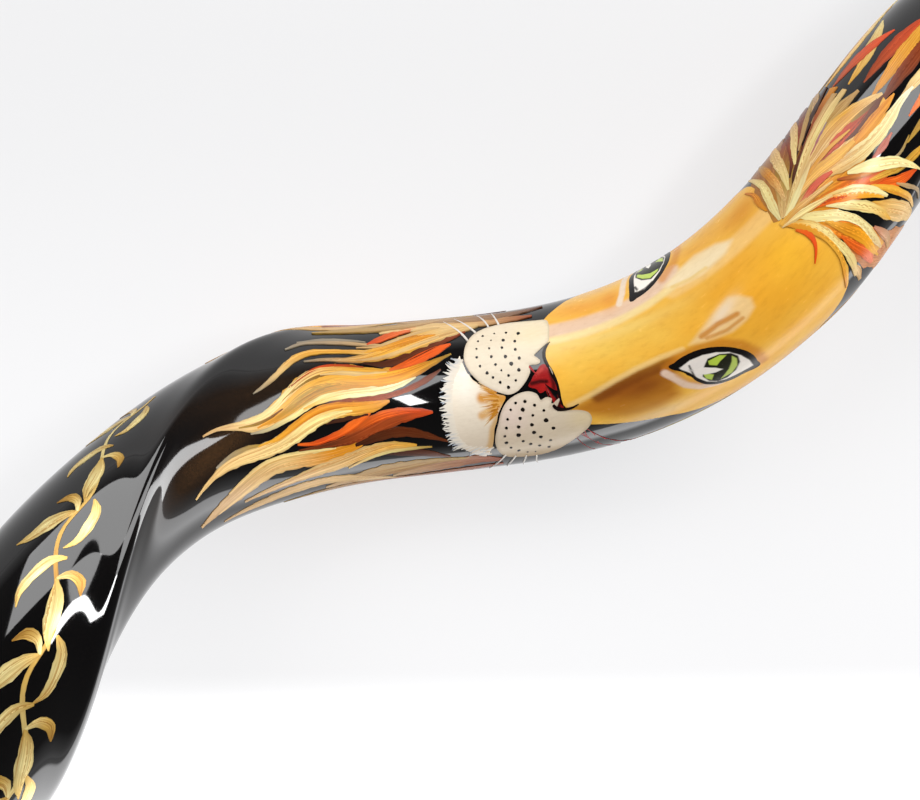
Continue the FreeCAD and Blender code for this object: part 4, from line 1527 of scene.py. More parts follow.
@dataclass
class Eyes:
    """The two green eyes with their black rims."""

    near: tuple[Spot, ...] = (
        (470.8, 9.5), (473, 6.4), (477, 5), (481, 6), (485, 10), (488.5, 17), (490.8, 26), (491.6, 35),
        (491.2, 43), (490, 51), (487.5, 48.5), (483, 46), (479.5, 42), (476.6, 35.5), (475, 28), (474, 20),
        (472.6, 14))
    far: tuple[Spot, ...] = (
        (467.8, -51), (471, -51.6), (475.5, -54), (480, -59), (483.8, -66), (486.4, -74), (487.4, -83),
        (487, -93), (485, -100), (480, -104), (475, -103), (471.5, -97), (469.6, -88), (468.8, -78),
        (468.6, -68), (468.2, -58))

    def near_colour(self, x: np.ndarray, degrees: np.ndarray) -> np.ndarray:
        """Colours of the near eye.

        Args:
            x: Lengths along the horn.
            degrees: Angles round it from the top line.

        Returns:
            The colours, (n, 3).
        """
        wash = Wash(x, degrees, shade(18, 14, 12))
        white = [(473, 12), (477, 10), (481, 11), (484.6, 14.5), (487.4, 20), (489.2, 28), (489.9, 37),
                 (489.5, 45), (486, 43.5), (482, 41.5), (479.2, 38), (477.2, 33), (475.9, 26), (475, 19)]
        wash.fill(white, 0.35, shade(244, 236, 226))
        iris = [(481.5, 15.5), (485, 17), (487.6, 21.5), (488.6, 27), (487.8, 33), (485.4, 38),
                (482.2, 40.2), (479.6, 38.4), (477.8, 33.5), (477.2, 27), (478.6, 21)]
        wash.fill(iris, 0.3, shade(34, 34, 20))
        wash.fill([(481.2, 17.4), (484.8, 18), (486.3, 21), (483.8, 22.6), (482.4, 24.4), (480.8, 20.6)],
                  0.35,
                  shade(190, 214, 76))
        wash.fill([(480.6, 37.6), (484, 38.2), (486.6, 34.4), (487.8, 28.4), (487.3, 24), (486.2, 28.4),
                   (484.2, 33), (482, 36)], 0.35, shade(188, 206, 100))
        wash.fill([(477.8, 25.4), (477.6, 30), (478.6, 34), (480, 30.4), (479.2, 27.6)], 0.35,
                  shade(186, 208, 92))
        wash.fill([(475.6, 17), (479, 20), (481.6, 25.4), (483, 30.2), (480.8, 29.4), (478.2, 26.4),
                   (476.6, 23)], 0.3, shade(248, 240, 230))
        wash.line([(475.3, 26), (475.6, 19), (476, 13.5)], 0.14, 0.3, shade(40, 36, 32), 0.9)
        return wash.colour

    def far_colour(self, x: np.ndarray, degrees: np.ndarray) -> np.ndarray:
        """Colours of the far eye.

        Args:
            x: Lengths along the horn.
            degrees: Angles round it from the top line.

        Returns:
            The colours, (n, 3).
        """
        wash = Wash(x, degrees, shade(18, 14, 12))
        white = [(470.6, -58), (474.4, -56.6), (478.4, -61), (481.8, -67), (484.2, -75), (485.2, -84),
                 (484.2, -94), (480, -99.5), (475, -98.5), (472.2, -91), (471, -80), (470.8, -68)]
        wash.fill(white, 0.35, shade(246, 238, 226))
        wash.fill([(478, -63.5), (481.6, -68.4), (484, -76), (484.8, -85), (483, -94), (478.6, -97),
                   (474, -93.6), (471.6, -85), (471.6, -76), (474, -68)], 0.3, shade(34, 34, 20))
        wash.fill([(477.6, -65.4), (481, -68.8), (481.8, -71.6), (478, -71.4), (474.6, -75.6),
                   (472.4, -80.4), (472.2, -76), (474.6, -69.4)], 0.35, shade(190, 212, 96))
        wash.fill([(484, -79), (484, -86), (482, -92.6), (480.4, -88), (482.4, -83)], 0.35,
                  shade(190, 210, 96))
        wash.fill([(477.4, -81.6), (478.4, -85), (478, -94), (475.6, -94), (476, -88)], 0.35,
                  shade(246, 242, 232))
        wash.fill([(472.4, -84), (474.4, -86), (474.8, -91), (473.2, -89)], 0.3, shade(186, 206, 92))
        wash.line([(471.6, -56.5), (475, -57.6), (478, -60.6)], 0.14, 0.3, shade(60, 50, 40), 0.8)
        wash.line([(471.6, -59.4), (471, -63.5)], 0.3, 0.4, shade(24, 18, 14), 0.9)
        return wash.colour

    def build(self, easel: Easel) -> bpy.types.Object:
        """Both eyes as one piece."""
        return easel.piece("eyes", [(Blot(self.near, (481.8, 26), self.near_colour, 192, 44, 0.05), 0.17),
                                    (Blot(self.far, (477.8, -77), self.far_colour, 192, 44, 0.05), 0.17)])


# ---------------------------------------------------------------- locks of the mane


@dataclass
class Tones:
    """Colours of the locks, as seen in studio light."""

    tan: Colour = shade(206, 164, 106)
    pale: Colour = shade(250, 228, 150)
    peach: Colour = shade(236, 196, 128)
    gold: Colour = shade(240, 176, 60)
    deep: Colour = shade(226, 146, 34)
    olive: Colour = shade(176, 138, 52)
    orange: Colour = shade(240, 108, 32)
    red: Colour = shade(214, 74, 26)
    rust: Colour = shade(160, 70, 28)
    brown: Colour = shade(104, 50, 22)
    umber: Colour = shade(64, 32, 16)
    grey: Colour = shade(158, 146, 124)


@dataclass
class Locks:
    """Beard, forelock and mane, stroke over stroke."""

    tones: Tones = field(default_factory=Tones)

    def beard(self) -> list[Stroke]:
        """Wavy locks from the chin back to the ridge, undermost first.

        Returns:
            The strokes.
        """
        t = self.tones
        rows = [
            # broad tan and brown locks on the low side
            ([(345, 66, 1), (356, 60, 3), (366, 56, 4), (376, 53, 3.2), (386, 50, 1.6), (402, 51, .5)],
             (t.tan, t.olive)),
            ([(372, 66, 1), (382, 61, 3), (392, 57, 3.2), (402, 54, 2.4), (410, 58, 1)], (t.tan, t.rust)),
            ([(300, 70, .5), (316, 64, 2.2), (332, 57, 2.4), (346, 55, 2), (360, 62, 2.4), (374, 72, .6)],
             (t.tan, t.peach)),
            ([(330, 82, .6), (346, 76, 2.8), (362, 74, 3), (380, 78, 3), (396, 72, 2.4), (410, 66, .8)],
             (t.olive, t.rust)),
            ([(366, 35, .5), (374, 36, 1.5), (382, 39, 1.5), (392, 46, .3)], (t.umber, t.brown)),
            ([(288, 54, .8), (296, 47, 2.5), (304, 41, 3.4), (312, 34, 3.6), (320, 28, 3.5), (330, 28, 3.2),
              (340, 29, 3.1), (350, 27, 2.3), (357, 22, 1.4), (362, 16, .3)],
              (t.tan, t.tan, t.peach, t.deep, t.deep)),
            ([(296, 52, .3), (304, 46, .8), (312, 39, 1), (320, 33, 1), (330, 32.5, .5)], (t.peach,)),
            ([(301, 36, .3), (308, 30, .9), (316, 23.5, 1.1), (324, 22, 1.1), (334, 23, .9),
              (346, 23.5, .4)],
             (t.peach, t.pale)),
            ([(308, 53, .5), (320, 49, 1.2), (330, 45, 1.6), (340, 40.5, 2.6), (350, 36.5, 2.9),
              (360, 30.5, 2.2),
              (368, 29, 1.9), (374, 29.5, 1.2), (379, 30.5, .4)], (t.tan, t.peach, t.peach, t.gold)),
            ([(340, 45, .3), (348, 41, .8), (356, 36, 1.1), (364, 30.5, 1.1), (371, 28.5, .6),
              (377, 30, .2)],
             (t.peach, t.gold)),
            ([(352, 44, .3), (360, 37, .8), (367, 33.6, .8), (376, 33, .7), (385, 33.6, .25)],
             (t.peach, t.pale, t.olive)),
            ([(354, 24, .6), (362, 20, 1.8), (368, 18, 1.9), (375, 18.6, 1.8), (382, 22.5, 1.3),
              (391, 30, .3)],
             (t.umber, t.brown, t.brown)),
            # reds in the middle
            ([(331, 20, .3), (342, 20.5, 1), (349, 19.5, 1.7), (356, 16.5, 2.4), (363, 11.5, 2.8),
              (370, 7, 2.8), (378, 5, 2), (385.6, 5.6, .5)], (t.brown, t.brown, t.rust, t.rust, t.red)),
            ([(331, 15, .4), (337, 17, .8), (343, 15.4, 1.1), (349, 12.4, 1.4), (354, 8, 1.8),
              (358, 3.6, 1.3), (361, 1, .4)], (t.orange, t.red, t.orange, t.orange)),
            ([(350, 15, .3), (356, 11, 1), (362, 6, 1.6), (368, 3.4, 1.6), (374, 2.6, 1.2), (381, 4, .5)],
             (t.rust, t.orange, t.red)),
            ([(343, 4, .3), (351, 2.6, .9), (360, 2, .4)], (t.umber,)),
            ([(343, -9.6, .3), (350, -10.4, .8), (357, -9.2, 1.3), (364, -8.6, 1.3), (370, -10, .9),
              (376, -12.4, .9),
              (382, -16.4, 1.1), (387, -21, .9), (390.5, -25, .25)], (t.brown, t.rust, t.rust, t.brown)),
            # the long pale lock
            ([(299, 10, .3), (305, 7, .9), (311, 5.6, .9), (318, 7.4, .4)], (t.grey, t.olive)),
            ([(288, 23.4, .25), (292, 19.6, .6), (297, 15.6, 1), (303, 12.4, 2), (310, 12.2, 2.3),
              (318, 12.4, 2.8),
              (325, 10.6, 3), (332, 5, 3.3), (339, -1, 3.2), (346, -4, 2.7), (352, -4, 2.4),
              (358, -3.2, 2.2),
              (364, -4, 1.7), (369, -6, .4)], (t.peach, t.peach, t.peach, t.pale, t.gold, t.deep)),
            ([(300, 14, .3), (308, 14.6, .9), (317, 15.4, 1.0), (325, 13, .9), (332, 8.5, .5)],
             (t.peach, t.pale)),
            ([(316, 7.6, .3), (324, 6.4, .9), (330, 1.6, 1.2), (336, -3.6, 1.3), (342, -7, 1.4),
              (350, -7.6, 1.2), (358, -6.4, 1), (366, -6.4, .3)], (t.gold, t.deep, t.deep)),
            ([(322, 13.4, .4), (330, 8.4, 1.3), (338, 2, 1.6), (346, -1.4, 1.3), (354, -2.4, .25)],
             (t.peach, t.pale, t.pale)),
            # the great golden lock
            ([(300, -15, .3), (305, -15.4, .6), (310, -13, 1.2), (315, -10, 2.2), (320, -8, 3),
              (325, -10.6, 3.4),
              (331, -15, 4.3), (337, -21, 5), (343, -25.6, 5.6), (350, -27, 5.7), (357, -25.6, 5.3),
              (364, -23, 4.4), (371, -22.6, 3.7), (378, -25, 2.6), (386, -29.6, 1.4), (395.4, -36.8, .25)],
             (t.tan, t.peach, t.gold, t.gold, t.gold, t.deep, t.olive)),
            ([(318, -6, .3), (325, -8, 1.2), (331, -11.6, 2.2), (337, -16.6, 2.9), (343, -20, 3),
              (349, -21, 2.2), (356, -19, 1.2), (363, -18, .3)], (t.deep, t.olive, t.olive, t.deep)),
            ([(311, -14, .3), (317, -12.6, 1), (322, -13, 1.3), (328, -18, 1.2), (334, -26, 1.3),
              (340, -32.6, 1.5),
              (347, -36.6, 1.5), (354, -35, 1.3), (361, -31, 1.1), (368, -28.6, .8), (374, -29, .25)],
             (t.peach, t.pale, t.peach, t.gold, t.gold)),
            ([(334, -28, .3), (340, -34, .6), (347, -39, .6), (355, -37.4, .6), (362, -33.6, .3)],
             (t.rust, t.red, t.rust)),
            ([(330, -20, .2), (336, -26, .4), (342, -30.4, .5), (350, -32.4, .5), (358, -29.6, .25)],
             (t.olive, t.brown)),
            ([(312, -10.6, .25), (318, -8.8, .5), (323, -9.8, .5), (329, -14, .25)], (t.olive, t.brown)),
            ([(315, -3.4, .3), (321, -2.4, .7), (327, -4.4, .8), (333, -7.4, .9), (339, -12, 1),
              (345, -15.8, .9), (352, -17, .3)], (t.grey, t.pale, t.pale)),
            ([(336, -10, .4), (344, -13.8, 1.1), (352, -15, 1.5), (360, -14.6, 1.6), (368, -14.8, 1.4),
              (374, -17, 1.1),
              (380.5, -21, .25)], (t.gold, t.pale, shade(252, 244, 180), shade(252, 244, 190))),
            ([(350, -27, .3), (358, -24.4, 1.6), (366, -22.4, 2.5), (373, -22.8, 2.5), (380, -26.4, 1.8),
              (387, -31, .9),
              (394, -35.4, .25)], (t.gold, shade(252, 170, 36), shade(250, 168, 36), t.olive)),
            ([(346, -33, .25), (354, -31.4, .8), (362, -27.6, .9), (370, -27.2, .4)], (t.peach, t.peach)),
            # the low locks on the far side
            ([(362, -37, .3), (369, -34, 1.2), (376, -36, 1.6), (383, -41, 1.9), (390, -47, 1.7),
              (397, -53, 1.2), (402, -57, .3)], (t.umber, t.brown, t.brown, t.rust)),
            ([(371, -28.6, .4), (378, -32, 1.4), (385, -37, 1.9), (391, -42, 1.6), (395.8, -45.4, .35)],
             (t.orange, shade(246, 100, 30), shade(246, 100, 30))),
            ([(340, -62, .3), (347, -66, .9), (353, -63, 1), (359, -59, 1), (365, -54.6, .8),
              (371, -52, .3)],
             (t.grey, t.tan)),
            ([(345, -68, .3), (353, -66.6, .8), (360, -62, .7), (366, -57, .3)], (t.grey,)),
            ([(366, -54, .4), (371, -58, 1.4), (376, -63, 1.7), (382, -67, 1.4), (390, -71, .3)],
             (t.red, t.orange, shade(232, 140, 100))),
            ([(372, -66, .5), (380, -69, 2.2), (390, -70, 3.2), (402, -69, 3.2), (414, -67, 2.4),
              (428, -66, .6)],
             (t.peach, t.peach, t.rust)),
            ([(343, -46.6, .3), (350, -45, .7), (356, -42, 1), (362, -41, 1.6), (369, -43, 2.7),
              (376, -47.6, 3.7), (383, -53, 4.3), (390, -58, 4.3), (398, -62, 3.5), (407, -64, 1.2)],
             (t.grey, t.tan, t.gold, t.gold, t.peach, t.peach)),
            ([(322, -30.8, .2), (327, -34.6, .7), (332, -40, .9), (337, -46.6, 1.1), (342, -52, 1.3),
              (347, -54, 1.3),
              (353, -52, 1), (359, -49, .9), (366, -46, 1.2), (374, -48, 1.4), (382, -52, .5)],
             (t.grey, t.peach, t.gold, t.gold, t.peach, t.gold)),
            ([(364, -46, .4), (371, -48, 1.8), (378, -52, 2.3), (385, -55, 1.6), (391, -56.6, .3)],
             (t.gold, t.deep, t.deep)),
            ([(360, -40, .25), (368, -39.6, .9), (375, -42.4, 1), (383, -47.6, 1), (392, -54, .4)],
             (t.tan, t.peach, t.peach)),
            ([(362, -52, .3), (369, -50.6, .6), (376, -55, .8), (384, -61, .8), (393, -66, .3)],
             (t.tan, t.peach)),
            ([(380, -84, .5), (392, -80, 2.6), (404, -76, 3), (418, -76, 2.6), (432, -80, .6)],
             (t.tan, t.brown)),
            ([(352, -80, .5), (364, -76, 2), (376, -74, 2.6), (388, -77, 2.2), (398, -84, .5)],
             (t.olive, t.tan)),
        ]
        strokes = [Stroke(marks, colours) for marks, colours in rows]
        return self.back_beard() + strokes

    def back_beard(self) -> list[Stroke]:
        """Locks of the same kind round the underside.

        Returns:
            The strokes.
        """
        t = self.tones
        rng = np.random.default_rng(19)
        sets = ((t.tan, t.gold), (t.rust, t.red), (t.peach, t.gold, t.deep), (t.brown, t.rust),
                (t.olive, t.tan), (t.orange, t.rust), (t.gold, t.pale))
        strokes = []
        for k in range(26):
            start = 92 + 176 * k / 25
            reach = 70 + 22 * rng.random()
            base = 418 - 12 * abs(math.sin(k * 1.7))
            phase = rng.normal(0, 3)
            lock = []
            for i in range(9):
                back = reach * i / 8
                sway = 5.5 * math.cos(2 * math.pi * (back + phase) / 46)
                widest = 1.6 + 1.6 * rng.random()
                width = 0.3 + widest * math.sin(math.pi * (0.1 + 0.86 * i / 8))
                lock.append((base - back, start + sway, width))
            strokes.append(Stroke(lock, sets[k % len(sets)]))
        return strokes

    def forelock(self) -> list[Stroke]:
        """Leaf-shaped tufts that fan out from the parting, undermost first.

        Returns:
            The strokes.
        """
        t = self.tones
        cream = shade(250, 234, 166)
        rows = [
            ([(522, -32, 1), (527, -50, 4.5), (532, -74, 7.5), (537, -98, 8), (542, -124, 4)],
             (shade(196, 132, 56), shade(172, 112, 52), shade(190, 134, 70))),
            ([(527, 14, 1), (531, 32, 4), (534, 50, 6.5), (538, 68, 7), (541, 84, 3)],
             (shade(206, 130, 58), shade(214, 140, 84), shade(204, 150, 96))),
            ([(524, -26, .8), (531, -20, 3), (540, -8, 4.6), (548, 4, 4.2), (555, 12, 1)],
             (t.gold, t.deep, t.orange, t.rust)),
            ([(524, -27, .8), (534, -24, 2.6), (545, -18, 3.4), (556, -15, 2.8), (565, -14, .8)],
             (t.gold, t.deep, t.gold)),
            ([(525, -28, .8), (536, -32, 2.8), (547, -33, 3.8), (558, -30, 2.6), (566, -24, .8)],
             (t.gold, t.peach, t.gold)),
            ([(524, -25, .8), (529, -10, 2.6), (532, 8, 3.2), (534, 28, 3.6), (534, 50, 2.6)],
             (t.gold, t.deep, t.orange, t.gold)),
            ([(524, -30, .8), (530, -44, 3), (537, -60, 4.4), (545, -76, 5), (551, -96, 3)],
             (t.peach, t.olive, t.rust, t.brown)),
            ([(546, 3, .5), (550, 10, 1), (554, 17, 1.3), (559, 21, 1.4), (565, 24, .4)],
             (t.gold, t.olive, t.gold)),
            ([(552, 6, .3), (557, 10, .5), (562, 7.6, .2)], (t.grey, t.olive)),
            ([(545, 8, .5), (547.5, 14, 1.6), (550, 21, 2), (553, 26, 1.6), (557, 30, .4)],
             (t.red, t.orange, t.red)),
            ([(551, -5, .4), (555, -4, 1.2), (559.6, -4.6, .3)], (shade(190, 104, 84), shade(190, 104, 84))),
            ([(545, -50, .4), (552, -52, 1.6), (559, -50, 2), (565, -46, .6)], (t.olive, t.tan)),
            ([(549, -33, .5), (555, -28.4, 1.8), (561, -26.6, 1.4), (567, -27, .4)], (t.brown, t.brown)),
            ([(540, -39, .5), (546, -37.4, 2.1), (552, -34, 2.3), (557, -31, 1.4), (562, -29.6, .4)],
             (t.rust, t.red, t.rust)),
            ([(549, -23.6, .5), (554, -22.2, 1.7), (559, -21.4, 1.9), (564, -20.6, 1.5), (568.6, -20.4, .3)],
             (t.deep, shade(240, 160, 42))),
            ([(535, -38.6, .5), (543, -43, 2), (551, -44.4, 2.8), (557, -41, 2.7), (562, -35.6, 1.9),
              (567, -28, .5)],
             (t.peach, t.peach, t.gold, t.peach)),
            ([(556, -35, .3), (560, -32, .9), (565, -28.6, .4)], (t.olive, t.brown)),
            ([(538, -45, .3), (544, -48, .8), (549, -51, .8), (553, -53, .3)],
             (t.red, shade(150, 130, 150))),
            ([(551, -66, .4), (556, -76, 1.3), (560, -88, 1.8), (563, -102, .4)], (t.tan, t.tan)),
            ([(544, -62, .4), (548, -72, 1.2), (552, -82, 1.8), (555, -94, 2), (557, -108, .4)],
             (t.rust, t.brown)),
            ([(532, -40, .3), (537, -48, 1.1), (543, -54, 1), (549, -60, 1.1), (555, -66, 1.6),
              (564, -71, 1.8)],
             (t.umber, t.brown, t.rust, t.deep)),
            ([(540, -56, .3), (548, -66, 1.1), (556, -74, 1.2), (564, -82, .5)], (t.umber, t.umber)),
            ([(534, -48, .3), (538, -56, .7), (541, -66, 1), (543.6, -78, 1.4), (545.6, -92, .4)],
             (t.umber, t.rust, t.brown)),
            ([(525, -29.4, .4), (532, -38, 1.1), (540, -47, 1.4), (548, -54, 1.6), (556, -57.6, 1.7),
              (564, -58, 1)],
             (t.pale, t.peach, t.pale, t.peach)),
            ([(536, -45, .3), (545, -55, .8), (553, -61, 1.2), (562, -65, 1.2)], (t.pale, t.peach, t.tan)),
            ([(538, -52, .4), (542, -64, 1.3), (546, -76, 1.7), (549, -90, 1.7), (551, -106, .4)],
             (t.pale, t.peach, t.gold)),
            ([(531, -42, .4), (534, -55, 1.5), (536, -70, 2), (538, -86, 2), (540, -102, .5)],
             (t.pale, t.peach, t.gold)),
            ([(542, -58, .3), (547, -66, 1), (553, -77, 1.3), (558, -88, 1), (561, -98, .3)],
             (t.tan, t.olive)),
            ([(528, -38, .4), (530, -52, 1.3), (531, -66, 1.6), (531.6, -82, 1.5), (532, -98, .4)],
             (t.peach, t.deep, t.olive)),
            ([(523, -31, .5), (524.4, -42, 1.4), (526, -53, 1.6), (527.4, -65, 1.4), (527, -78, 1),
              (526, -92, .3)],
             (cream, t.pale, t.peach)),
            ([(522.4, -44, .3), (522.6, -54, 1.1), (523.4, -64, .9), (522, -76, .3)],
             (t.deep, shade(226, 140, 36))),
            # the upward fan
            ([(541, 14, .8), (543, 27, 2.8), (545, 39, 3.4), (546.4, 50, 2.6), (546.6, 62, .8)],
             (t.gold, t.peach, t.peach)),
            ([(537.6, 30, .4), (538, 38, 1.2), (538, 48, 1.3), (536.4, 58, .4)],
             (shade(206, 140, 110), t.tan)),
            ([(550, 22, .3), (551.6, 32, .7), (553, 42, .6), (552, 54, .2)], (t.tan, t.grey)),
            ([(545, 6, .5), (547.4, 18, 1.1), (549, 30, 1.2), (549.8, 40, .9), (549, 52, .3)],
             (t.gold, t.gold, t.peach)),
            ([(534, -12, .5), (537.4, 0, 1.5), (540, 12, 1.7), (541.6, 25, 1.2), (542, 38, .3)],
             (cream, t.pale, t.gold)),
            ([(530.2, 12, .3), (530.3, 22, 1), (530.8, 32, 1.5), (531.2, 42, 1.8), (530.4, 54, .6)],
             (t.orange, t.orange, shade(236, 130, 90))),
            ([(526.6, 36, .4), (526.4, 46, 1.2), (525, 58, .5)], (t.peach, t.tan)),
            ([(530.6, -8, .4), (531.8, 5, 1.3), (533.2, 18, 1.9), (533.8, 30, 1.8), (533, 42, 1.1),
              (533, 54, .3)],
             (t.gold, t.deep, shade(250, 170, 36), t.gold)),
            ([(527, -22, .5), (530, -12, 1.7), (533, -3, 1.8), (535.4, 8, 1.3), (536.2, 20, 1.2),
              (535.6, 34, 1.3), (535, 50, .4)], (t.pale, cream, cream, t.peach)),
            ([(541, -17, .3), (544, -9, .9), (547, -2, .9), (550.4, 4, .25)], (t.rust, t.deep)),
            ([(533, -18.6, .5), (538, -9.4, 1.7), (542, 0, 1.9), (544.6, 12, 1.4), (546, 22, .4)],
             (t.gold, cream, cream)),
            ([(529, -21, .5), (534, -15, 1.2), (538, -6, 1.3), (541, 2, 1.1), (543.4, 11, .8),
              (545, 20, .3)],
             (t.orange, t.orange, shade(250, 166, 36), t.gold)),
            ([(530, -20.6, .3), (533.6, -16, .8), (536.6, -10, .7), (539, -4, .3)], (t.rust, t.red)),
            ([(544, -14, .5), (548, -6, 1.8), (551, 2, 2.2), (554, 11, 1.7), (556, 21, 1), (557.4, 33, .25)],
             (cream, cream, cream, t.pale)),
            ([(538, -29, .5), (543, -23.6, 2.2), (549, -16.6, 2.7), (555, -12.6, 2.4), (561, -11.6, 2),
              (567, -13, 1.3), (573, -12, .4)], (t.gold, t.peach, cream, cream, shade(252, 246, 214))),
            ([(525, -28, .4), (533, -33.6, 1.3), (540, -32.6, 2), (546, -27.6, 2), (552, -24, .7)],
             (t.peach, t.gold, t.gold)),
            ([(530, -32, .3), (538, -37, .7), (546, -37, .8), (554, -32, .3)], (t.deep, t.gold)),
            ([(524, -24, .5), (527.4, -12, 1.2), (528.4, 0, 1.3), (528.4, 10, 1.1), (528, 25, 1.2),
              (527, 36, 1.2), (525, 48, .4)], (t.gold, t.pale, t.pale, t.peach)),
            ([(523, -25, .5), (525.6, -15, 1.1), (527, -2, .9), (527, 12, .7), (526, 24, .7),
              (523.6, 36, .5), (521, 50, .2)],
             (t.deep, t.gold, t.deep)),
            ([(523.8, -17, .4), (525.2, -8, .9), (524.4, 0, .6), (522.4, 6, .35), (520.4, 10.4, .15)],
             (t.orange, shade(240, 84, 24), shade(240, 84, 24))),
            ([(526, -25, .3), (533, -27.4, 1), (538, -27, 1.2), (542, -23.6, .5)], (t.peach, t.red, t.red)),
            ([(524, -28.6, .4), (528, -31, .9), (534, -36, .9), (541, -42, .5)], (cream, cream, t.peach)),
            ([(522, -27, .9), (526, -24, 1.3), (531, -19.6, 1), (537, -13, .4)], (t.peach, t.pale, t.peach)),
            ([(522, -27.4, .9), (527, -27, 1.1), (533, -24, .9), (540, -19, .3)], (t.gold, t.peach)),
        ]
        return [Stroke(marks, colours, edge=0.1) for marks, colours in rows]

    def mane(self) -> list[Stroke]:
        """Leaves farther out towards the mouth end, and those that close the face at the back.

        Returns:
            The strokes.
        """
        t = self.tones
        rng = np.random.default_rng(23)
        sets = ((t.gold, t.pale), (t.rust, t.red), (t.deep, t.gold), (t.brown, t.rust), (t.peach, t.pale),
                (t.orange, t.gold), (t.olive, t.tan))
        strokes = []
        for k in range(30):
            place = -60 + 360 * k / 30 + rng.normal(0, 3)
            start = 560 + 9 * rng.random()
            reach = 22 + 22 * rng.random()
            curl = rng.normal(0, 9)
            leaf = [(start + reach * s, place + curl * s * s, 0.3 + 2.5 * f)
                    for s, f in ((0, 0), (0.3, 0.7), (0.6, 1), (0.85, 0.5), (1, 0))]
            strokes.append(Stroke(leaf, sets[k % len(sets)]))
        for k in range(44):
            back = 80 + 164 * (k + 0.5) / 44
            start = 528 + 8 * math.sin(k * 2.1)
            reach = 44 + 34 * rng.random()
            heading = 1 if k % 2 else -1
            phase = rng.normal(0, 2)
            lock = []
            for i in range(7):
                s = i / 6
                x = start + heading * reach * s * (0.8 if heading > 0 else 1)
                sway = 5 * math.sin(2.6 * s + phase) * s
                lock.append((x, back + sway, 0.4 + 2.4 * math.sin(math.pi * (0.12 + 0.83 * s))))
            strokes.append(Stroke(lock, sets[(k * 3) % len(sets)]))
        return strokes

    def layered(self, strokes: Sequence[Stroke], low: float, high: float) -> list[tuple[Stroke, float]]:
        """Each stroke a little above the one before, with its own fine lines just over it.

        Args:
            strokes: The strokes, undermost first.
            low: Lift of the undermost.
            high: Lift that the uppermost nears.

        Returns:
            The strokes with their lifts.
        """
        rng = np.random.default_rng(31)
        layers = []
        for k, stroke in enumerate(strokes):
            lift = low + (high - low) * k / len(strokes)
            layers.append((stroke, lift))
            layers += [(line, lift + stroke.crown + 0.002) for line in stroke.hairs(rng)]
        return layers

    def build(self, easel: Easel) -> list[tuple[bpy.types.Object, tuple[str, ...]]]:
        """The three groups of locks, each with the CAD node it stands for.

        Args:
            easel: Where marks are made.

        Returns:
            The pieces with their nodes.
        """
        return [
            (easel.piece("beard_locks", self.layered(self.beard(), 0.05, 0.42)), ("beard_paint",)),
            (easel.piece("forelock", self.layered(self.forelock(), 0.16, 0.58)), ("forelock_paint",)),
            (easel.piece("mane_locks", self.layered(self.mane(), 0.04, 0.3)), ("mane_paint",)),
        ]


@dataclass
class GoldOrnament:
    """Leafy vine in gold beside the ridge, larger towards the bell."""

    form: HornForm
    count: int = 7
    first: float = 292.0
    spacing: float = 16.5
    below_ridge: float = 42.0

    def build(self, easel: Easel) -> bpy.types.Object:
        """One stem with its leaves copied along the ridge.

        Args:
            easel: Where marks are made.

        Returns:
            The piece.
        """
        rng = np.random.default_rng(5)
        gold, pale, dark = shade(214, 172, 84), shade(246, 226, 156), shade(168, 120, 46)
        places = np.linspace(self.first + 9, self.first - self.spacing * (self.count - 0.2), 34)
        sway = 6.5 * np.sin((places - self.first) * math.pi / self.spacing)
        line = self.form.keel_degrees(places) - self.below_ridge
        stem = [(x, float(a + b), 0.45 + 0.012 * k) for k, (x, a, b) in enumerate(zip(places, line, sway))]
        items = [(Stroke(stem, (gold, pale, gold, dark, gold, pale, gold), edge=0.15), 0.12)]
        for k in range(self.count):
            x = self.first - self.spacing * k
            size = 1 + 0.06 * k
            middle = float(self.form.keel_degrees(np.array([x]))[0]) - self.below_ridge
            side = 1 if k % 2 else -1
            for leaf, tones in (
                    ([(0, 0, .3), (-2.4, 5, 1.5), (-6.2, 10, 2.1), (-9.6, 13.4, 1.3), (-12.6, 19, .15)],
                     (gold, pale, gold)),
                    ([(0, 0, .3), (2.2, 5.4, 1.1), (2.2, 11, 1.3), (-0.4, 16.4, .15)], (pale, gold, dark)),
                    ([(4.6, -2.4, .3), (2.8, -8.4, 1.2), (-1.4, -12.4, 1.4), (-6.4, -13, .8),
                      (-8.6, -10, .15)],
                     (gold, pale, gold))):
                placed = [(x + dx * size, middle + side * da * size, w * size) for dx, da, w in leaf]
                items.append((Stroke(placed, tones, edge=0.15), 0.14))
                items += [(hair, 0.20) for hair in items[-1][0].hairs(rng, 1.3, 0.6)]
        return easel.piece("gold_vine", items)


# ---------------------------------------------------------------- studio


@dataclass(frozen=True)
class Softbox:
    """One rectangular lamp, aimed at the horn from a direction."""

    name: str
    direction: tuple[float, float, float]
    distance: float
    width: float
    height: float
    radiance: float
    roll: float = 0.0

    def place(self, target: Vector) -> None:
        """Adds the lamp.

        Args:
            target: What it is aimed at.
        """
        lamp = bpy.data.lights.new(self.name, "AREA")
        lamp.shape = "RECTANGLE"
        lamp.size = self.width
        lamp.size_y = self.height
        lamp.energy = self.radiance * math.pi * self.width * self.height
        holder = bpy.data.objects.new(self.name, lamp)
        bpy.context.scene.collection.objects.link(holder)
        way = Vector(self.direction).normalized()
        holder.location = target + way * self.distance
        holder.rotation_euler = (way.to_track_quat("Z", "Y").to_matrix().to_4x4()
                                 @ Matrix.Rotation(self.roll, 4, "Z")).to_euler()


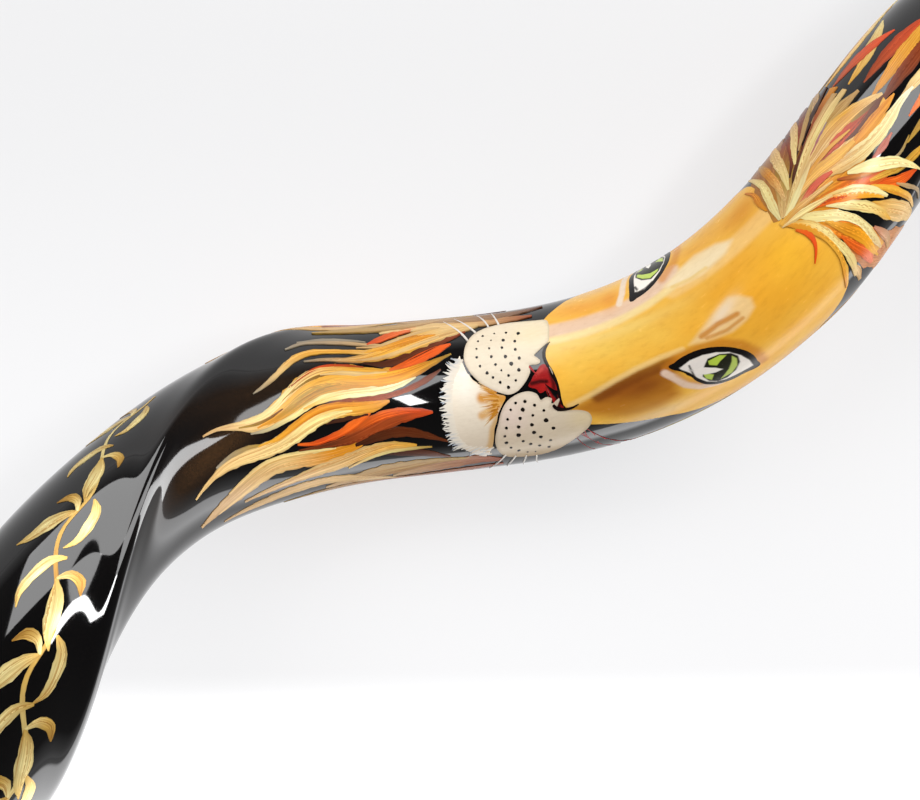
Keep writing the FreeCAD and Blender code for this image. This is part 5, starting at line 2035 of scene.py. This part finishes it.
@dataclass
class Studio:
    """Pale floor with a band of painted light glowing beyond the horn's low side, soft lamps, dim ceiling and
    the camera.
    """

    floor_tone: float = 0.22
    floor_glow: float = 0.585
    # painted light: the floor's emission, many times its even level in a band beyond the horn's low side
    table_glow: float = 4.0
    glow_edge: Spot = (0.115, 0.21)
    glow_end: Spot = (0.8, 1.4)
    rise_span: Spot = (-0.12, 0.08)
    rise: float = 0.11
    nearer_by: Spot = (-0.492, -0.866)     # direction on the floor towards the horn's low side
    tint: float = 1.01                     # how much bluer than grey everything round the horn is
    sky_levels: tuple[Spot, ...] = ((0.0, 0.90), (0.06, 0.60), (0.25, 0.12), (1.0, 0.05))
    lens_mm: float = 100.0
    sensor_mm: float = 36.0
    clip_m: Spot = (0.01, 50.0)
    camera_place: Colour = (-0.06554, 0.11066, 0.92467)
    camera_right: Colour = (0.86855, -0.48142, 0.11826)
    camera_back: Colour = (-0.06054, 0.13381, 0.98921)
    lamps: tuple[Softbox, ...] = (
        Softbox("lamp_side", (0.09, 0.80, 0.60), 3.0, 1.7, 2.5, 6.2),
        Softbox("lamp_bell", (0.60, 0.27, 0.75), 3.0, 1.45, 1.95, 6.6, -0.35),
        Softbox("lamp_spot", (0.31, -0.05, 0.95), 3.0, 0.30, 0.80, 34.0, 1.0),
        Softbox("lamp_low", (0.908, -0.325, 0.265), 3.0, 0.34, 2.51, 11.0, -0.70),
    )

    def build(self) -> None:
        """Adds everything that isn't part of the horn."""
        low, high = CAD_BOX
        clear_selection()
        bpy.ops.mesh.primitive_plane_add(size=12.0, location=(0.0, 0.0, low.z))
        floor = bpy.context.object
        floor.name = "floor"
        board = Board("glowing_floor_paper")
        place = board.node("ShaderNodeTexCoord", {}, {}, "Object")
        split = board.node("ShaderNodeSeparateXYZ", {}, {0: place}, "X")
        deep = Link(board, split.socket.node.outputs["Y"])
        nearer = split * self.nearer_by[0] + deep * self.nearer_by[1]
        beyond = board.ramp(nearer, *self.glow_edge)
        far = 1 - board.ramp(nearer, *self.glow_end)
        rise = board.ramp(nearer, *self.rise_span) * self.rise
        # painted light: the floor glows far brighter in a band beyond the horn's low side, with a slight rise
        # towards it
        glow = beyond * far * (self.table_glow - self.floor_glow) + rise
        level = (glow + self.floor_glow) * (1.0 / self.table_glow)
        tone = self.floor_tone
        floor.data.materials.append(board.finish(
            Base_Color=(tone, tone, tone * self.tint), Roughness=0.9, Specular_IOR_Level=0.0,
            Emission_Color=board.node("ShaderNodeCombineXYZ", {},
                                      {0: level, 1: level, 2: level * self.tint}),
            Emission_Strength=self.table_glow))
        target = Vector(((low.x + high.x) / 2, (low.y + high.y) / 2, 0.06))
        for lamp in self.lamps:
            lamp.place(target)
        self.sky()
        self.camera()

    def sky(self) -> None:
        """World light: pale near the horizon and dim overhead."""
        board = Board("studio", world=True)
        place = board.node("ShaderNodeTexCoord", {}, {}, "Generated")
        height = board.node("ShaderNodeSeparateXYZ", {}, {0: place}, "Z")
        stops = [(at, (level, level, level * self.tint)) for at, level in self.sky_levels]
        colour = board.node("ShaderNodeValToRGB", {"stops": stops}, {0: height}, "Color")
        bpy.context.scene.world = board.finish(Color=colour)

    def camera(self) -> None:
        """The camera, nearly overhead."""
        data = bpy.data.cameras.new("camera")
        data.lens = self.lens_mm
        data.sensor_width = self.sensor_mm
        data.clip_start, data.clip_end = self.clip_m
        camera = bpy.data.objects.new("camera", data)
        bpy.context.scene.collection.objects.link(camera)
        right = Vector(self.camera_right).normalized()
        back = Vector(self.camera_back).normalized()
        up = back.cross(right).normalized()
        right = up.cross(back)
        turn = Matrix((right, up, back)).transposed()
        camera.matrix_world = Matrix.Translation(self.camera_place) @ turn.to_4x4()
        bpy.context.scene.camera = camera
        bpy.context.scene.view_settings.view_transform = "Standard"


def main() -> None:
    """Builds the shofar piece by piece and the studio round it."""
    logging.basicConfig(level=logging.INFO, format="%(name)s %(message)s", stream=sys.stdout, force=True)
    form = HornForm()
    easel = Easel(form)
    Studio().build()
    fit(HornBody(form).build(), Slot.BARE_HORN, NaturalHorn().material(), "horn_sheath")
    fit(LacquerSkin(form).build(), Slot.BLACK_LACQUER, MirrorLacquer().material(), "lacquer_coat")
    face = BrushedPaint("face_gold", streak=0.11, streaks_per_mm=0.6, stretch=0.5)
    fit(FaceField(form).build(easel), Slot.FACE_GOLD, face.material(), "face_paint")
    finishes = {
        Slot.CREAM_PAINT: BrushedPaint("cream_paint", streak=0.08, streaks_per_mm=1.2,
                                       stretch=0.3).material(),
        Slot.NOSE_RED: BrushedPaint("nose_red", streak=0.35, streaks_per_mm=1.6, stretch=0.3).material(),
        Slot.EYE_PAINT: BrushedPaint("eye_paint", streak=0.06, streaks_per_mm=1.4, stretch=0.4).material(),
        Slot.WHITE_PAINT: BrushedPaint("white_paint", streak=0.10, streaks_per_mm=2.0).material(),
    }
    for piece, slot, nodes in Muzzle().build(easel):
        fit(piece, slot, finishes[slot], *nodes)
    fit(Eyes().build(easel), Slot.EYE_PAINT, finishes[Slot.EYE_PAINT], "eyes_paint")
    lock_paint = BrushedPaint("lock_paint", streak=0.42, streaks_per_mm=1.7, stretch=0.05).material()
    for piece, nodes in Locks().build(easel):
        fit(piece, Slot.LOCK_PAINT, lock_paint, *nodes)
    gold = BrushedPaint("gold_paint", streak=0.4, streaks_per_mm=1.3, stretch=0.1, roughness=0.24,
                        metallic=0.35)
    fit(GoldOrnament(form).build(easel), Slot.GOLD_PAINT, gold.material(), "gold_ornament_paint")


if __name__ == "__main__":
    main()
